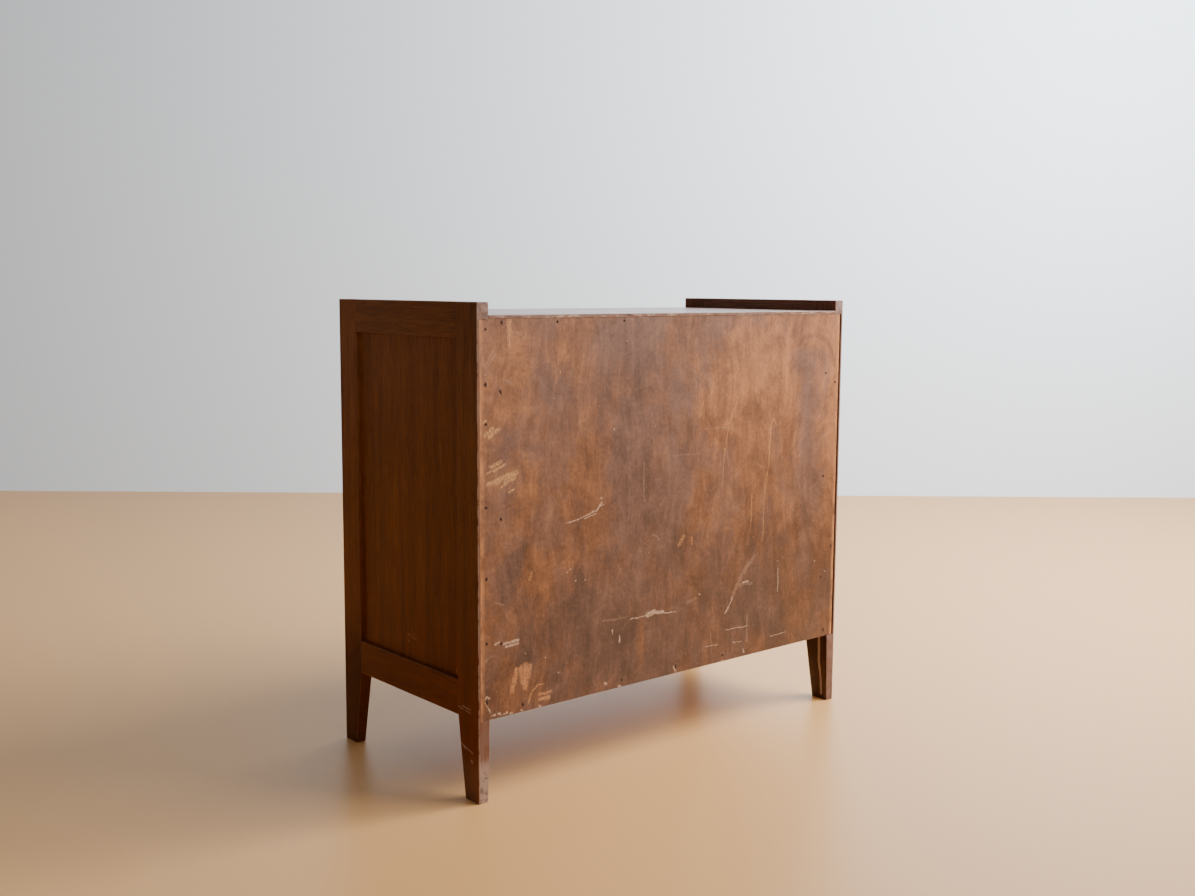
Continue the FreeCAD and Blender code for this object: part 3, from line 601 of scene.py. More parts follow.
BARE = [
    # a tongue of bare wood under the top board's edge
    (421, 873, 421, 850, 8.0), (421, 852, 421, 836, 6.4), (421, 838, 421, 824, 4.0),
    # two patches with ragged edges, low on the right
    (406, 236, 409, 210, 6.0), (410, 222, 417, 195, 6.0), (396, 236, 392, 206, 6.5),
    (384, 238, 386, 198, 9.5), (375, 236, 379, 216, 6.5),
    # trails below them
    (378, 165, 372, 184, 2.4), (372, 184, 356, 197, 2.2), (356, 197, 342, 195, 1.8),
    (352, 178, 326, 178, 3.6), (352, 168, 330, 168, 5.0),
]
CHIPS = [
    # round the lowest nail, along the lower edge, and at the corner of the sheet
    (475, 191, 472, 196, 2.4), (473, 196, 466, 192, 2.6), (474, 186, 472, 180, 2.4),
    (470, 176, 465, 167, 2.4), (460, 159, 454, 160, 3.6), (446, 160, 441, 158, 3.0),
    (434, 157, 428, 158, 3.0), (420, 156, 416, 156, 2.6), (396, 156, 392, 155, 2.6),
    (354, 155, 349, 154, 3.0), (9, 166, 3, 155, 3.6), (194, 168, 188, 166, 3.6),
    (157, 155, 150, 153, 4.0), (-129, 155, -133, 153, 2.0),
]
WATER_MARKS_AND_SHADOW = [
    # an arch of old water, high on the left, and a painted shadow along the shadow side of the
    # long dent
    (-349, 806, -369, 822, 7), (-369, 822, -404, 827, 8), (-404, 827, -439, 815, 8),
    (-439, 815, -459, 790, 7), (-459, 790, -469, 758, 6), (-272, 640, -267, 560, 3.0),
]
CRACKS = [(-479, 881, -471, 879, 1.4), (-471, 872, -464, 868, 1.4), (-464, 868, -459, 872, 1.2),
          (479, 756, 471, 757, 1.2), (480, 870, 467, 870, 1.2)]
SPECKS = [
    (205, 530, 2.8), (-61, 305, 2.8), (-164, 187, 2.6), (-419, 328, 1.8), (174, 659, 2.2),
    (279, 403, 2.2), (286, 398, 2.0), (266, 380, 2.2), (244, 378, 1.8), (386, 262, 2.0),
    (339, 245, 2.2), (307, 210, 1.8), (-455, 300, 2.0),
]
marks = (SCRATCHES, FAINT, DENTS, SCUFFS, BARE, CHIPS, WATER_MARKS_AND_SHADOW, CRACKS, SPECKS)
print(sum(len(group) for group in marks), "marks")

# %% [markdown]
# ## The plywood back
#
# The sheet is peeled birch or beech, stained to match. A peeled veneer has no straight grain: the
# knife follows the rings round the log, so the figure is a loose mottle under upright fibres that
# sway. Noise read at a place that other noise has moved gives the sway. The stain took unevenly,
# so cool, dark clouds stand left of the middle as one looks at the back, and the sheet is paler
# and more orange towards the top right. The clouds are soft ovals, listed one by one.


# %% Veneer
def flat_place(tree, place, across):
    """The place on an upright board: (spot with no depth, sideways, height)."""
    parts = split(tree, place)
    spot = put(tree, "CombineXYZ", {"X": parts[across], "Y": parts["Z"]}).outputs[0]
    return spot, parts[across], parts["Z"]


def veneer_figure(tree, spot):
    """The peeled veneer: (tone from 0 to 1, fibres, mottle)."""
    drift = put(tree, "TexNoise", {"Vector": spot, "Scale": 2.6, "Detail": 1.5}).outputs["Color"]
    drift = pushed(tree, drift, (0.17, 0, 0), spot)
    broad = noise(tree, stretched(tree, spot, (1, 0.5, 1)), 5, 3, 0.5)
    mottle = noise(tree, stretched(tree, spot, (1, 0.8, 1)), 17, 9, 0.72, 0.5)
    lines = noise(tree, stretched(tree, drift, (1, 0.025, 1)), 62, 4, 0.6)
    rings = noise(tree, stretched(tree, drift, (1, 0.25, 1)), 6, 2, 0.5)
    rings = calc(tree, "SINE", times(tree, rings, 120))
    fibres = noise(tree, stretched(tree, spot, (1, 0.05, 1)), 400, 3, 0.65)
    flecks = noise(tree, stretched(tree, drift, (1, 0.7, 1)), 190, 3, 0.7)
    tone = times(tree, rings, 0.01)
    shares = ((broad, 0.18), (mottle, 0.38), (lines, 0.14), (fibres, 0.12), (flecks, 0.18))
    for layer, share in shares:
        tone = plus(tree, tone, times(tree, layer, share))
    return tone, fibres, mottle


# %% Tones and clouds of the stain
WARM_PLY = [
    (0.36, (0.08, 0.0285, 0.0108)),
    (0.44, (0.14, 0.0515, 0.0195)),
    (0.51, (0.218, 0.082, 0.03)),
    (0.58, (0.34, 0.13, 0.0455)),
    (0.66, (0.49, 0.19, 0.066)),
]
COOL_PLY = [
    (0.36, (0.067, 0.031, 0.0195)),
    (0.44, (0.114, 0.053, 0.033)),
    (0.52, (0.171, 0.08, 0.05)),
    (0.62, (0.263, 0.122, 0.075)),
]
CLOUDS = [
    # middle x and z, half width, half height in metres, coolness, darkness
    (0.12, 0.62, 0.13, 0.38, 0.75, 0.02),  # the long cool band
    (0.03, 0.46, 0.09, 0.22, 0.6, 0.03),
    (0.0, 0.66, 0.06, 0.24, 0.55, 0.028),
    (0.14, 0.84, 0.12, 0.09, 0.45, 0.012),
    (0.22, 0.30, 0.1, 0.16, 0.85, 0.042),
    (0.10, 0.22, 0.12, 0.12, 0.5, 0.024),
    (0.10, 0.22, 0.5, 0.22, 0.5, 0.004),  # the foot of the sheet is dull and pinkish
    (0.33, 0.75, 0.075, 0.07, 0.4, 0.012),
    (0.40, 0.38, 0.07, 0.14, 0.5, 0.012),
    (0.40, 0.66, 0.09, 0.07, 0.4, 0.016),
    (0.47, 0.54, 0.06, 0.12, 0.5, 0.022),
    (-0.36, 0.78, 0.065, 0.05, 0.5, 0.01),
    (-0.38, 0.66, 0.05, 0.13, 0.7, 0.022),
    (-0.39, 0.51, 0.06, 0.13, 0.2, 0.03),
    (-0.04, 0.84, 0.1, 0.06, 0.3, 0.008),
    (-0.26, 0.28, 0.32, 0.24, 0.25, 0.062),
    # warmer and brighter ones
    (-0.27, 0.76, 0.11, 0.13, -1.0, -0.05),
    (-0.16, 0.72, 0.1, 0.15, -1.0, -0.042),
    (-0.21, 0.57, 0.09, 0.13, -0.6, -0.028),
    (-0.465, 0.62, 0.026, 0.19, -0.9, -0.035),
    (-0.46, 0.44, 0.03, 0.14, -0.5, -0.02),
    (0.37, 0.41, 0.04, 0.06, -0.8, -0.022),
    (0.245, 0.66, 0.05, 0.16, -0.3, -0.03),
    (0.18, 0.69, 0.03, 0.08, -0.4, -0.02),
    (0.42, 0.82, 0.1, 0.1, -0.6, -0.045),
    (-0.42, 0.84, 0.12, 0.07, -0.9, -0.02),
    (0.10, 0.23, 0.015, 0.07, -0.8, -0.018),
    (0.44, 0.28, 0.06, 0.12, 0.0, -0.034),
]


def cloud(tree, spot, middle, size):
    """A soft-edged oval: 1 near its middle, 0 outside. All in metres."""
    away = vector_calc(tree, "SUBTRACT", spot, (*middle, 0))
    shaped = vector_calc(tree, "DIVIDE", away, (*size, 1))
    reach = put(tree, "VectorMath", {0: shaped}, operation="LENGTH").outputs["Value"]
    return eased(tree, reach, 1.0, 0.15)


def cool_and_dark(tree, spot):
    """How far the stain has cooled to plum, and how far it has darkened, cloud by cloud."""
    uneven = noise(tree, stretched(tree, spot, (1, 0.6, 1)), 11, 6, 0.65)
    cool = times(tree, eased(tree, uneven, 0.42, 0.58), 0.66)
    dark = 0.0
    for x, z, half_width, half_height, coolness, darkness in CLOUDS:
        oval = cloud(tree, spot, (x, z), (half_width, half_height))
        cool = plus(tree, cool, times(tree, oval, coolness))
        dark = plus(tree, times(tree, oval, darkness), dark)
    return cool, dark


print(len(CLOUDS), "clouds")


# %% Wear of the sheet
def hairlines(tree, spot, turn, scale):
    """Fine random scratches that run mostly one way."""
    across = put(tree, "VectorRotate", {"Vector": spot, "Angle": turn}, rotation_type="Z_AXIS")
    slim = stretched(tree, across.outputs[0], (1, 0.14, 1))
    wander = calc(tree, "SUBTRACT", noise(tree, slim, scale, 1), 0.5)
    return eased(tree, calc(tree, "ABSOLUTE", wander), 0.006, 0.001)


def rubbed_all_over(tree, spot, colour):
    """Fine scratches, more of them where cloth and cartons rubbed, and small nicks."""
    patches = eased(tree, noise(tree, spot, 13, 3), 0.5, 0.64)
    fine = calc(tree, "MAXIMUM", hairlines(tree, spot, 1.2, 15), hairlines(tree, spot, -1.0, 19))
    fine = times(tree, times(tree, fine, patches), 0.08)
    nicks = times(tree, eased(tree, noise(tree, spot, 130, 1), 0.76, 0.8), 0.5)
    return mixed(tree, calc(tree, "MAXIMUM", fine, nicks), colour, (0.5, 0.26, 0.12, 1))


def shifted(tree, spot, scale, reach):
    """The place moved about by noise, so that straight strokes come out frayed."""
    push = put(tree, "TexNoise", {"Vector": spot, "Scale": scale, "Detail": 3.0})
    push = vector_calc(tree, "SUBTRACT", push.outputs["Color"], (0.5, 0.5, 0.5))
    return pushed(tree, push, (reach, reach, 0), spot)


def marked(tree, frayed, grit, fibres, colour):
    """Every list of marks, from the faintest to the deepest."""
    specks = [(x, z, x, z, radius) for x, z, radius in SPECKS]
    bare_tone = tones(tree, fibres, [(0.35, (0.38, 0.145, 0.055)), (0.65, (0.56, 0.25, 0.105))])
    # the grit that a mark shows from, and shows fully at, how strongly it shows, and its tint
    for group, wear_from, wear_to, amount, tint in (
        # old water marks, and the painted shadow beside the long dent
        (WATER_MARKS_AND_SHADOW, 0.0, 0.3, 0.36, (0.07, 0.026, 0.017)),
        (CRACKS, 0.0, 0.3, 0.9, (0.03, 0.012, 0.008)),
        (FAINT, 0.34, 0.62, 0.3, (0.46, 0.27, 0.17)),
        (DENTS, 0.3, 0.6, 0.42, (0.56, 0.25, 0.09)),
        (BARE, 0.32, 0.54, 0.85, bare_tone),
        (SCUFFS, 0.32, 0.64, 0.8, (0.6, 0.31, 0.115)),
        (CHIPS, 0.36, 0.58, 0.8, (0.62, 0.4, 0.27)),
        (SCRATCHES, 0.3, 0.6, 0.68, (0.66, 0.44, 0.29)),
        (specks, 0.1, 0.3, 0.5, (0.7, 0.5, 0.34)),
    ):
        mark = times(tree, strokes(tree, frayed, group), eased(tree, grit, wear_from, wear_to))
        colour = tinted(tree, colour, mark, amount, tint)
    return colour


def bright_edges(tree, spot, x, grit, colour):
    """Both upright edges are rubbed bright, unevenly."""
    ragged = times(tree, grit, 0.008)
    near_right = eased(tree, plus(tree, x, ragged), 0.477, 0.488)
    near_left = eased(tree, calc(tree, "SUBTRACT", x, ragged), -0.476, -0.484)
    rub = calc(tree, "MAXIMUM", near_right, near_left)
    patchy = noise(tree, stretched(tree, spot, (1, 0.3, 1)), 48, 5, 0.7)
    rub = times(tree, rub, eased(tree, patchy, 0.36, 0.62))
    return tinted(tree, colour, rub, 0.85, (0.52, 0.21, 0.075))


print("wear of the sheet ready")


# %% Plywood
def plywood(name):
    """Stained plywood with its clouds, stains and marks."""
    material, tree, shader, place = finish_start(name)
    spot, x, z = flat_place(tree, place, "X")
    tone, fibres, mottle = veneer_figure(tree, spot)
    cool, dark = cool_and_dark(tree, spot)
    # paler towards the top right, and darker towards the floor
    paler_top_right = times(tree, eased(tree, x, 0.25, -0.42), eased(tree, z, 0.35, 0.8))
    darker_low = eased(tree, plus(tree, z, times(tree, mottle, 0.25)), 0.85, 0.25)
    for layer, amount in ((dark, -1), (paler_top_right, 0.02), (darker_low, -0.058)):
        tone = plus(tree, tone, times(tree, layer, amount))
    colour = mixed(tree, cool, tones(tree, tone, WARM_PLY), tones(tree, tone, COOL_PLY))
    colour = rubbed_all_over(tree, spot, colour)
    frayed = shifted(tree, shifted(tree, spot, 45.0, 0.006), 210.0, 0.004)
    grit = noise(tree, stretched(tree, frayed, (1, 0.6, 1)), 330, 3, 0.7)
    colour = marked(tree, frayed, grit, fibres, colour)
    colour = bright_edges(tree, spot, x, grit, colour)
    fill(tree, shader, {
        "Base Color": colour,
        "Roughness": plus(tree, times(tree, tone, 0.5), 0.25),
        "Normal": raised(tree, grit, 0.3, 0.3),
        "Specular IOR Level": 0.4,
    })
    return material


sheet_finish = plywood("stained plywood")
print("plywood has", len(sheet_finish.node_tree.nodes), "nodes")

# %% [markdown]
# ## Ends with a scratch or two
#
# The panels of the ends are the chest's best surface, of straight, fine figure. The right one is a
# little warmer than the frame round it, and the left one is as dark as its frame. Near the foot of
# each something was once dragged across, and left a few short scratches.

# %% End panels
END_MARKS = [
    (2, 262, 18, 266, 1.6), (18, 262, 36, 257, 1.4), (22, 272, 36, 262, 1.2),
    (6, 252, 12, 251, 1.4), (168, 232, 169, 226, 2.0), (120, 640, 122, 590, 0.9),
]
END_SCRATCH = (0.52, 0.27, 0.11)


def end_panel_finish(name, deep, warm):
    """Fine, straight figure, with a few scratches in the varnish."""
    material, tree, shader, place = finish_start(name)
    colour, grain, broad = varnish_colour(tree, place, "Z", deep, warm)
    frayed = shifted(tree, flat_place(tree, place, "Y")[0], 160.0, 0.005)
    grit = eased(tree, noise(tree, frayed, 330, 3, 0.7), 0.4, 0.56)
    scratches = times(tree, strokes(tree, frayed, END_MARKS), grit)
    colour = tinted(tree, colour, scratches, 0.75, END_SCRATCH)
    varnish(tree, shader, colour, grain, broad, roughness=0.34, coat=0.04, shine=0.14)
    return material


PANEL_DEEP, PANEL_WARM = (0.105, 0.033, 0.0075), (0.31, 0.108, 0.024)
right_panel = end_panel_finish("varnished right panel", PANEL_DEEP, PANEL_WARM)
left_panel = end_panel_finish("varnished left panel", *SUNNY_SIDE)
print(right_panel.name, left_panel.name)

# %% [markdown]
# ## Legs that have been kicked and mopped
#
# No two of these legs wore alike. The rear ones have lost most of their varnish where they look
# backwards. Mops took the rest off the right one's foot and left grey, dry wood, while the left
# one has a painted highlight, a long pale gloss streak, down its inner face. The front legs
# gathered wax and dirt at the foot, which went nearly black, and painted shade darkens them
# further up. One
# recipe does all four: height comes from the place on the piece, and the way a face looks comes
# from its normal, so the wear lands where a real one would. Rounded arrises are found by a normal
# that looks two ways at once, and carry chips and a painted highlight.

# %% Wear of the legs
# a painted highlight: a long pale gloss streak down the left rear leg's inner face
PAINTED_HIGHLIGHT_STREAK = [
    (226, 155, 226, 88, 5.0), (226, 88, 229, 66, 4.4), (229, 66, 232, 40, 3.4),
    (232, 40, 233, 12, 3.8),
]
SIDE_KNOCKS = [
    (180, 169, 200, 166, 1.4), (196, 172, 224, 170, 1.2), (206, 166, 223, 164, 1.2),
    (185, 108, 207, 93, 1.5), (199, 99, 230, 90, 1.6), (225, 76, 228, 73, 2.6),
    (176, 146, 179, 116, 1.8), (180, 112, 185, 76, 1.6),
]
SOILED = [(0.4, (0.08, 0.05, 0.052)), (0.5, (0.25, 0.175, 0.155)), (0.6, (0.4, 0.27, 0.2))]
# the last tone is for knocks and for the painted highlight streak
# the middle tone is for chips on the arrises and a painted highlight along them
FOOT_BLOT, ARRIS_CHIP_AND_HIGHLIGHT, KNOCK_AND_HIGHLIGHT_TONE = (0.07, 0.035, 0.022), (0.42, 0.29, 0.24), (0.42, 0.3, 0.26)
MOPPED_TO, WAX_AND_SHADE_TO = 0.14, 0.46  # how high mops reached, and how high the front legs' wax and painted shade reach


def chipped_and_highlit_arrises(tree, place, look, amount, colour):
    """Chips along the rounded arrises at the back, with a painted highlight along them."""
    slant = times(tree, calc(tree, "ABSOLUTE", look["X"]), look["Y"])
    chips = noise(tree, stretched(tree, place, (1, 1, 0.3)), 120, 4, 0.7)
    chips = times(tree, eased(tree, chips, 0.4, 0.56), eased(tree, slant, 0.1, 0.25))
    return tinted(tree, colour, chips, amount, ARRIS_CHIP_AND_HIGHLIGHT)


def side_knocks_and_highlight(tree, place, look, side_marks, colour):
    """Knocks, and a long painted highlight streak, on the face that looks towards +X."""
    flat = flat_place(tree, place, "Y")[0]
    frayed = shifted(tree, flat, 50, 0.002)
    rub = times(tree, strokes(tree, frayed, side_marks), squarely(tree, look["X"]))
    return tinted(tree, colour, rub, 0.75, KNOCK_AND_HIGHLIGHT_TONE)


print("wear of the legs ready")


# %% Worn legs
def leg_varnish(
    name, stain, back, back_amount, foot, foot_amount, arris_amount, side_marks=(), inner_shade=None
):
    """Upright varnish, bare on backward faces, changed at the foot, chipped and given a painted
    highlight on its arrises.
    """
    material, tree, shader, place = finish_start(name)
    colour, grain, broad = varnish_colour(tree, place, "Z", *stain)
    height = split(tree, place)["Z"]
    if inner_shade:
        colour = shaded_face(tree, place, colour, grain.fibres, inner_shade)
    look = facing(tree)
    looks_back = squarely(tree, look["Y"])
    ragged = plus(tree, noise(tree, place, 26, 5, 0.65), times(tree, grain.fibres, 0.7))
    patchy = times(tree, eased(tree, ragged, 0.7, 0.95), 0.5)
    bare = times(tree, times(tree, plus(tree, patchy, 0.5), looks_back), back_amount)
    colour = mixed(tree, bare, colour, (*back, 1))
    # the very top of a backward face is greyed by hands
    greyed = times(tree, eased(tree, height, 0.845, 0.9), looks_back)
    soiled = tones(tree, noise(tree, place, 60, 5, 0.7), SOILED)
    colour = tinted(tree, colour, greyed, 0.6 * back_amount, soiled)
    # a rear foot is mopped bare, most on its backward face, and a front one is darkened all round,
    # by wax at the foot and painted shade above it
    reach = MOPPED_TO if back_amount else WAX_AND_SHADE_TO
    share = eased(tree, times(tree, eased(tree, height, reach, 0.0), ragged), 0.2, 0.62)
    if back_amount:
        share = times(tree, share, plus(tree, times(tree, looks_back, 0.8), 0.2))
    colour = tinted(tree, colour, share, foot_amount, foot)
    blots = eased(tree, noise(tree, place, 95, 4, 0.6), 0.56, 0.64)
    colour = tinted(tree, colour, times(tree, blots, share), 0.6, FOOT_BLOT)
    colour = chipped_and_highlit_arrises(tree, place, look, arris_amount, colour)
    if side_marks:
        colour = side_knocks_and_highlight(tree, place, look, side_marks, colour)
    dry = calc(tree, "MAXIMUM", bare, times(tree, share, foot_amount * 0.7))
    fill(tree, shader, {
        "Base Color": colour,
        "Roughness": plus(tree, times(tree, dry, 0.28), 0.34),
        "Normal": raised(tree, grain.fibres, 0.35, 0.3),
        "Specular IOR Level": 0.2 if back_amount else 0.12,
    })
    return material


# painted shade tones for the inner faces of the left legs
INNER_LEG_SHADE = (0.1, 0.045, 0.028), (0.24, 0.11, 0.07)
FRONT_STAIN = (0.13, 0.042, 0.01), (0.33, 0.118, 0.028)
# nearly black: wax at the foot, and painted shade further up the front legs
BLACK_WAX_AND_SHADE = (0.036, 0.0085, 0.0008)
WAXED_AND_SHADED = {
    "back": (0.1, 0.04, 0.015), "back_amount": 0.0,
    "foot": BLACK_WAX_AND_SHADE, "foot_amount": 0.6, "arris_amount": 0.0,
}
worn_leg = leg_varnish(
    "worn leg", (DEEP, WARM), back=(0.17, 0.09, 0.06), back_amount=0.9,
    foot=(0.36, 0.24, 0.18), foot_amount=0.8, arris_amount=0.9, side_marks=SIDE_KNOCKS,
)
shaded_leg = leg_varnish(
    "shaded leg", SUNNY_SIDE, back=(0.2, 0.115, 0.088), back_amount=0.95,
    foot=(0.18, 0.108, 0.082), foot_amount=0.3, arris_amount=0.4, side_marks=PAINTED_HIGHLIGHT_STREAK, inner_shade=INNER_LEG_SHADE,
)
front_leg = leg_varnish("waxed and shaded leg", FRONT_STAIN, **WAXED_AND_SHADED)
left_front_leg = leg_varnish("waxed and shaded left leg", SUNNY_SIDE, **WAXED_AND_SHADED, inner_shade=INNER_LEG_SHADE)
print(worn_leg.name, shaded_leg.name, front_leg.name, left_front_leg.name)

# %% [markdown]
# ## Worn edges
#
# A crisp CAD edge catches no light, and that is the surest sign of a computer's work. On the real
# chest every arris was eased with glasspaper and then rubbed by hands, cloths and brooms, so it
# shows as a thin, paler, broken line. A bevel modifier eases the edges, and it can give its new
# faces a finish of their own. The boards' meshes are not touched: modifiers only change what is
# shown. Welding and clearing flat faces first leaves the bevel whole edges to work on.


# %% Edges that were eased and rubbed
def rubbed(name, way, deep, bare, amount):
    """A varnished edge worn through to paler wood in places."""
    material, tree, shader, place = finish_start(name)
    grain = streaks(tree, place, way)
    worn = noise(tree, place, 55, 5, 0.7)
    worn = plus(tree, worn, times(tree, noise(tree, place, 9, 2), 0.6))
    kicked = times(tree, eased(tree, split(tree, place)["Z"], 0.2, 0.02), 0.16)
    share = times(tree, eased(tree, plus(tree, worn, kicked), 0.74, 0.96), amount)
    dark = tones(tree, grain.fibres, [(0.35, deep), (0.65, tuple(v * 1.9 for v in deep))])
    colour = mixed(tree, share, dark, (*bare, 1))
    fill(tree, shader, {"Base Color": colour, "Roughness": 0.42, "Coat Weight": 0.15})
    return material


frame_edge = rubbed("rubbed frame edge", "Z", (0.07, 0.024, 0.01), (0.34, 0.17, 0.08), 0.7)
sheet_edge = rubbed("sheet edge", "Z", (0.16, 0.07, 0.035), (0.6, 0.38, 0.2), 0.9)


def finish_piece(name, *finishes):
    """Gives a CAD piece its finishes in place of the plain one."""
    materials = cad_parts[name].data.materials
    materials.clear()
    for finish in finishes:
        materials.append(finish)


def ease_edges(name, width, finish, edge_finish):
    """Gives a board its finish, and its eased edges theirs. The width is in millimetres."""
    finish_piece(name, finish, edge_finish)
    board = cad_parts[name]
    weld = board.modifiers.new("join faces", "WELD")
    weld.merge_threshold = 0.01 * MM
    flat = board.modifiers.new("clear flats", "DECIMATE")
    flat.decimate_type = "DISSOLVE"
    flat.angle_limit = math.radians(0.4)
    bevel = board.modifiers.new("eased edges", "BEVEL")
    bevel.width = width * MM
    bevel.segments = 2
    bevel.limit_method = "ANGLE"
    bevel.angle_limit = math.radians(40)
    bevel.material = 1
    bevel.use_clamp_overlap = False
    bevel.loop_slide = False


for side, rear, front, upper, lower, panel in (
    ("right", worn_leg, front_leg, right_rail, right_rail, right_panel),
    ("left", shaded_leg, left_front_leg, left_top_rail, left_rail, left_panel),
):
    ease_edges(f"{side}_rear_leg", 0.4, rear, frame_edge)
    ease_edges(f"{side}_front_leg", 0.4, front, frame_edge)
    ease_edges(f"{side}_top_rail", 0.7, upper, frame_edge)
    ease_edges(f"{side}_bottom_rail", 0.7, lower, frame_edge)
    ease_edges(f"{side}_end_panel", 0.5, panel, frame_edge)
ease_edges("top_board", 0.8, top_finish, frame_edge)
ease_edges("back_panel", 0.6, sheet_finish, sheet_edge)
ease_edges("front_bottom_rail", 0.8, front_finish, frame_edge)
print("edges eased")

# %% [markdown]
# ## Inside the case and the drawers
#
# Where nobody looks, the maker used plain pale wood and left it bare: runners and rear rail from
# offcuts, drawer sides and backs of a close white wood, and bottoms of thin ply. Bare wood is
# rough, pale and dry, with grain that shows by colour and not by shine. It has yellowed most on
# the drawers, which saw the light.


# %% Bare wood
def bare_wood(name, way, pale, tan, roughness=0.62):
    """Unfinished wood, planed but not varnished."""
    material, tree, shader, place = finish_start(name)
    grain = streaks(tree, place, way)
    tone = times(tree, grain.bands, 0.6)
    tone = plus(tree, tone, times(tree, grain.fibres, 0.4))
    colour = tones(tree, tone, [(0.36, tan), (0.64, pale)])
    soiled = eased(tree, noise(tree, place, 6, 4, 0.6), 0.52, 0.72)
    colour = tinted(tree, colour, soiled, 0.35, [v * 0.55 for v in tan])
    bumps = raised(tree, grain.fibres, 0.3, 0.2)
    fill(tree, shader, {"Base Color": colour, "Roughness": roughness, "Normal": bumps})
    return material


DRAWER_PALE, DRAWER_TAN = (0.62, 0.46, 0.29), (0.46, 0.3, 0.17)
along_wood = bare_wood("drawer wood X", "X", DRAWER_PALE, DRAWER_TAN)
side_wood = bare_wood("drawer wood Y", "Y", DRAWER_PALE, DRAWER_TAN)
floor_ply = bare_wood("drawer bottom ply", "X", (0.6, 0.42, 0.25), (0.47, 0.31, 0.17), 0.55)
runner_wood = bare_wood("runner wood", "Y", (0.5, 0.36, 0.22), (0.36, 0.23, 0.13))
rail_wood = bare_wood("rail offcut", "X", (0.44, 0.29, 0.17), (0.3, 0.18, 0.1))
bare_edge = bare_wood("bare edge", "Y", (0.66, 0.5, 0.33), (0.5, 0.34, 0.2))

for drawer in DRAWERS:
    ease_edges(f"{drawer}_drawer_front", 0.8, front_finish, frame_edge)
    ease_edges(f"{drawer}_drawer_right_side", 0.6, side_wood, bare_edge)
    ease_edges(f"{drawer}_drawer_left_side", 0.6, side_wood, bare_edge)
    ease_edges(f"{drawer}_drawer_back", 0.5, along_wood, bare_edge)
    ease_edges(f"{drawer}_drawer_bottom", 0.4, floor_ply, bare_edge)
    ease_edges(f"{drawer}_right_runner", 0.8, runner_wood, bare_edge)
    ease_edges(f"{drawer}_left_runner", 0.8, runner_wood, bare_edge)
ease_edges("rear_bottom_rail", 0.6, rail_wood, bare_edge)
ease_edges("glue_blocks", 0.6, rail_wood, bare_edge)
print("bare woods assigned")

# %% [markdown]
# ## Nails, screws and knobs
#
# The nails of the back have dull, dark heads with a slight dome from the hammer, and each stands
# in a small dark bruise, stained by rust. A nail head or a knob is a shape made by turning, so
# one helper spins a short profile round an axis, and one mesh holds the whole set. The CAD's plain
# prisms stay for weight and fit, and these stand in for them.


# %% Dull metal
def dull_metal(name, clean, rust, amount):
    """Metal with patches of rust or tarnish."""
    material, tree, shader, place = finish_start(name)
    patches = times(tree, eased(tree, noise(tree, place, 420, 4), 0.4, 0.6), amount)
    colour = mixed(tree, patches, (*clean, 1), (*rust, 1))
    metal = calc(tree, "SUBTRACT", 1.0, patches)
    rough = calc(tree, "ADD", patches, 0.35, limit=True)
    fill(tree, shader, {"Base Color": colour, "Metallic": metal, "Roughness": rough})
    return material


nail_finish = dull_metal("old nail", (0.055, 0.03, 0.02), (0.022, 0.008, 0.004), 1.0)
bruise_finish = bare_wood("bruised ply", "Z", (0.11, 0.036, 0.015), (0.05, 0.016, 0.007), 0.8)
screw_finish = dull_metal("dull brass", (0.55, 0.4, 0.17), (0.22, 0.13, 0.06), 0.4)
finish_piece("runner_screws", screw_finish)
for drawer in DRAWERS:
    finish_piece(f"{drawer}_drawer_knob_screws", screw_finish)
    finish_piece(f"{drawer}_drawer_bottom_nails", nail_finish)
print("screws and small nails finished")


# %% Turned pieces
def solid_boxes(name):
    """The lowest and highest corner of each loose solid of a CAD piece."""
    mesh = bmesh.new()
    mesh.from_mesh(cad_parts[name].data)
    bmesh.ops.remove_doubles(mesh, verts=mesh.verts, dist=0.01 * MM)
    found, seen = [], set()
    for vertex in mesh.verts:
        if vertex in seen:
            continue
        group, queue = [], [vertex]
        seen.add(vertex)
        while queue:
            here = queue.pop()
            group.append(here.co.copy())
            for edge in here.link_edges:
                other = edge.other_vert(here)
                if other not in seen:
                    seen.add(other)
                    queue.append(other)
        lowest = Vector([min(p[i] for p in group) for i in range(3)])
        highest = Vector([max(p[i] for p in group) for i in range(3)])
        found.append((lowest, highest))
    mesh.free()
    return found


def turned(mesh, foot, axis, profile, steps):
    """Spins a profile of (radius, distance) round an axis that starts at foot."""
    turn = Vector(axis).to_track_quat("Z", "Y").to_matrix()
    rings = []
    for radius, distance in profile:
        if radius == 0:
            rings.append([mesh.verts.new(foot + turn @ Vector((0, 0, distance)))])
            continue
        ring = []
        for step in range(steps):
            angle = math.tau * step / steps
            spoke = Vector((radius * math.cos(angle), radius * math.sin(angle), distance))
            ring.append(mesh.verts.new(foot + turn @ spoke))
        rings.append(ring)
    for ring, following in zip(rings, rings[1:]):
        for step in range(steps):
            corners = [
                ring[step % len(ring)],
                ring[(step + 1) % len(ring)],
                following[(step + 1) % len(following)],
                following[step % len(following)],
            ]
            unique = list(dict.fromkeys(corners))
            if len(unique) > 2:
                mesh.faces.new(unique)


SMOOTH = math.radians(35)  # faces that meet at less than this are shaded as one


def finished_piece(name, mesh, finish, body, node):
    """Turns a bmesh into a shown piece that stands in for a CAD node."""
    data = bpy.data.meshes.new(name)
    bmesh.ops.recalc_face_normals(mesh, faces=mesh.faces)
    mesh.to_mesh(data)
    mesh.free()
    data.materials.append(finish)
    piece = bpy.data.objects.new(name, data)
    bpy.context.scene.collection.objects.link(piece)
    data.shade_smooth()
    data.set_sharp_from_angle(angle=SMOOTH)
    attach(piece, body)
    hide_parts(node)


print("turning tools ready")

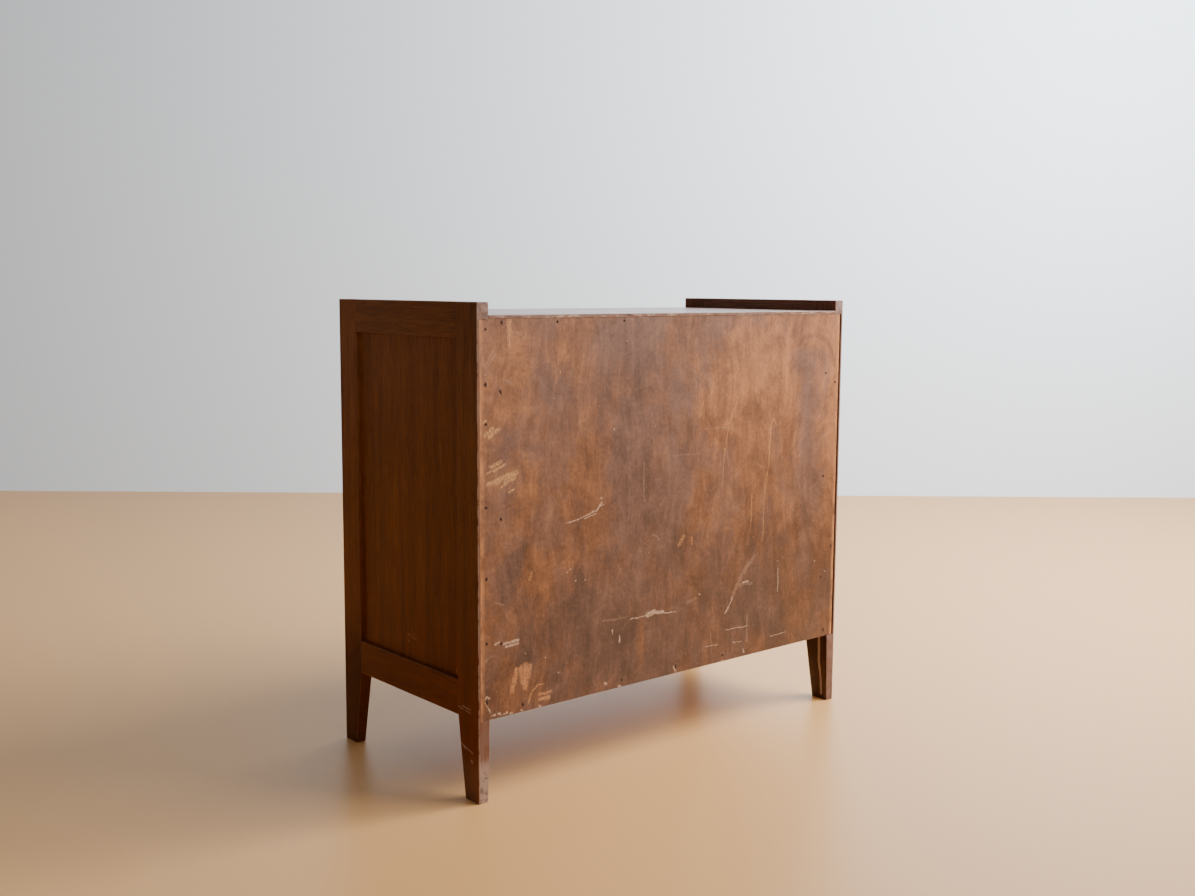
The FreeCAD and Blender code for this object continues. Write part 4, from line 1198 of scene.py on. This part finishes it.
# %% Nails of the back
HEAD, SHANK, TIP, BRUISE = 2.1 * MM, 1.0 * MM, 2.0 * MM, 2.7 * MM
BRUISE_UNDER, BRUISE_RIM, BRUISE_TOP = -0.1 * MM, 0.06 * MM, 0.16 * MM  # from the sheet's face
NAIL_STEPS, BRUISE_STEPS = 20, 14
LONGER, LEAN = (1.0, 1.9, 1.2, 1.0, 1.5, 1.1, 2.1), (0.0, 0.12, -0.2, 0.3, -0.1)


def nail_profile(length, proud):
    """Radius and distance from the sheet's face, from the tip to the domed head."""
    return [
        (0, -length),
        (SHANK, -length + TIP),
        (SHANK, 0),
        (HEAD, 0),
        (HEAD, proud * 0.45),
        (HEAD * 0.75, proud * 0.85),
        (0, proud),
    ]


BRUISE_PROFILE = [
    (BRUISE, BRUISE_UNDER), (BRUISE, BRUISE_RIM), (HEAD * 0.9, BRUISE_TOP), (0, BRUISE_TOP)
]
nails, bruises = bmesh.new(), bmesh.new()
for count, (lowest, highest) in enumerate(solid_boxes("back_nails")):
    middle = (lowest + highest) / 2
    foot = Vector((middle.x, SHEET_HIGH.y, middle.z))
    profile = nail_profile(SHEET_HIGH.y - lowest.y, highest.y - SHEET_HIGH.y)
    turned(nails, foot, (0, 1, 0), profile, NAIL_STEPS)
    # the hammer bruised the wood round each nail, some longer upright, and some leaning
    earlier = len(bruises.verts)
    turned(bruises, foot, (0, 1, 0), BRUISE_PROFILE, BRUISE_STEPS)
    bruises.verts.ensure_lookup_table()
    for vertex in bruises.verts[earlier:]:
        up = (vertex.co.z - foot.z) * LONGER[count % len(LONGER)]
        vertex.co.z = foot.z + up
        vertex.co.x += up * LEAN[count % len(LEAN)]
finished_piece("back_nail_set", nails, nail_finish, "case", "back_nails")
finished_piece("nail_bruises", bruises, bruise_finish, "case", "back_nails")
print("nails of the back:", count + 1)

# %% Knobs
# From the drawer front outwards: foot, hollow waist, flare, rounded rim and a slightly domed face.
KNOB = [
    (0.0, 0.0), (11.0, 0.0), (11.0, 1.2), (10.2, 2.2), (8.6, 4.6), (7.7, 7.4), (7.6, 9.4),
    (8.6, 11.6), (11.6, 14.2), (15.2, 16.2), (17.3, 17.6), (18.0, 19.4), (17.8, 21.4),
    (16.6, 23.6), (14.4, 25.2), (11.2, 26.2), (7.0, 26.8), (0.0, 27.0),
]
KNOB_TONES = (0.06, 0.017, 0.005), (0.15, 0.048, 0.012)
KNOB_STEPS = 40
knob_profile = [(radius * MM, distance * MM) for radius, distance in KNOB]
knob_finish = varnished("turned knob", "Y", *KNOB_TONES, roughness=0.28, coat=0.1, shine=0.25)
for drawer in DRAWERS:
    node = f"{drawer}_drawer_knobs"
    knobs = bmesh.new()
    for lowest, highest in solid_boxes(node):
        middle = (lowest + highest) / 2
        foot = Vector((middle.x, highest.y, middle.z))
        turned(knobs, foot, (0, -1, 0), knob_profile, KNOB_STEPS)
    name, body = f"{drawer}_drawer_turned_knobs", f"{drawer}_drawer"
    finished_piece(name, knobs, knob_finish, body, node)
    print(node, "turned")
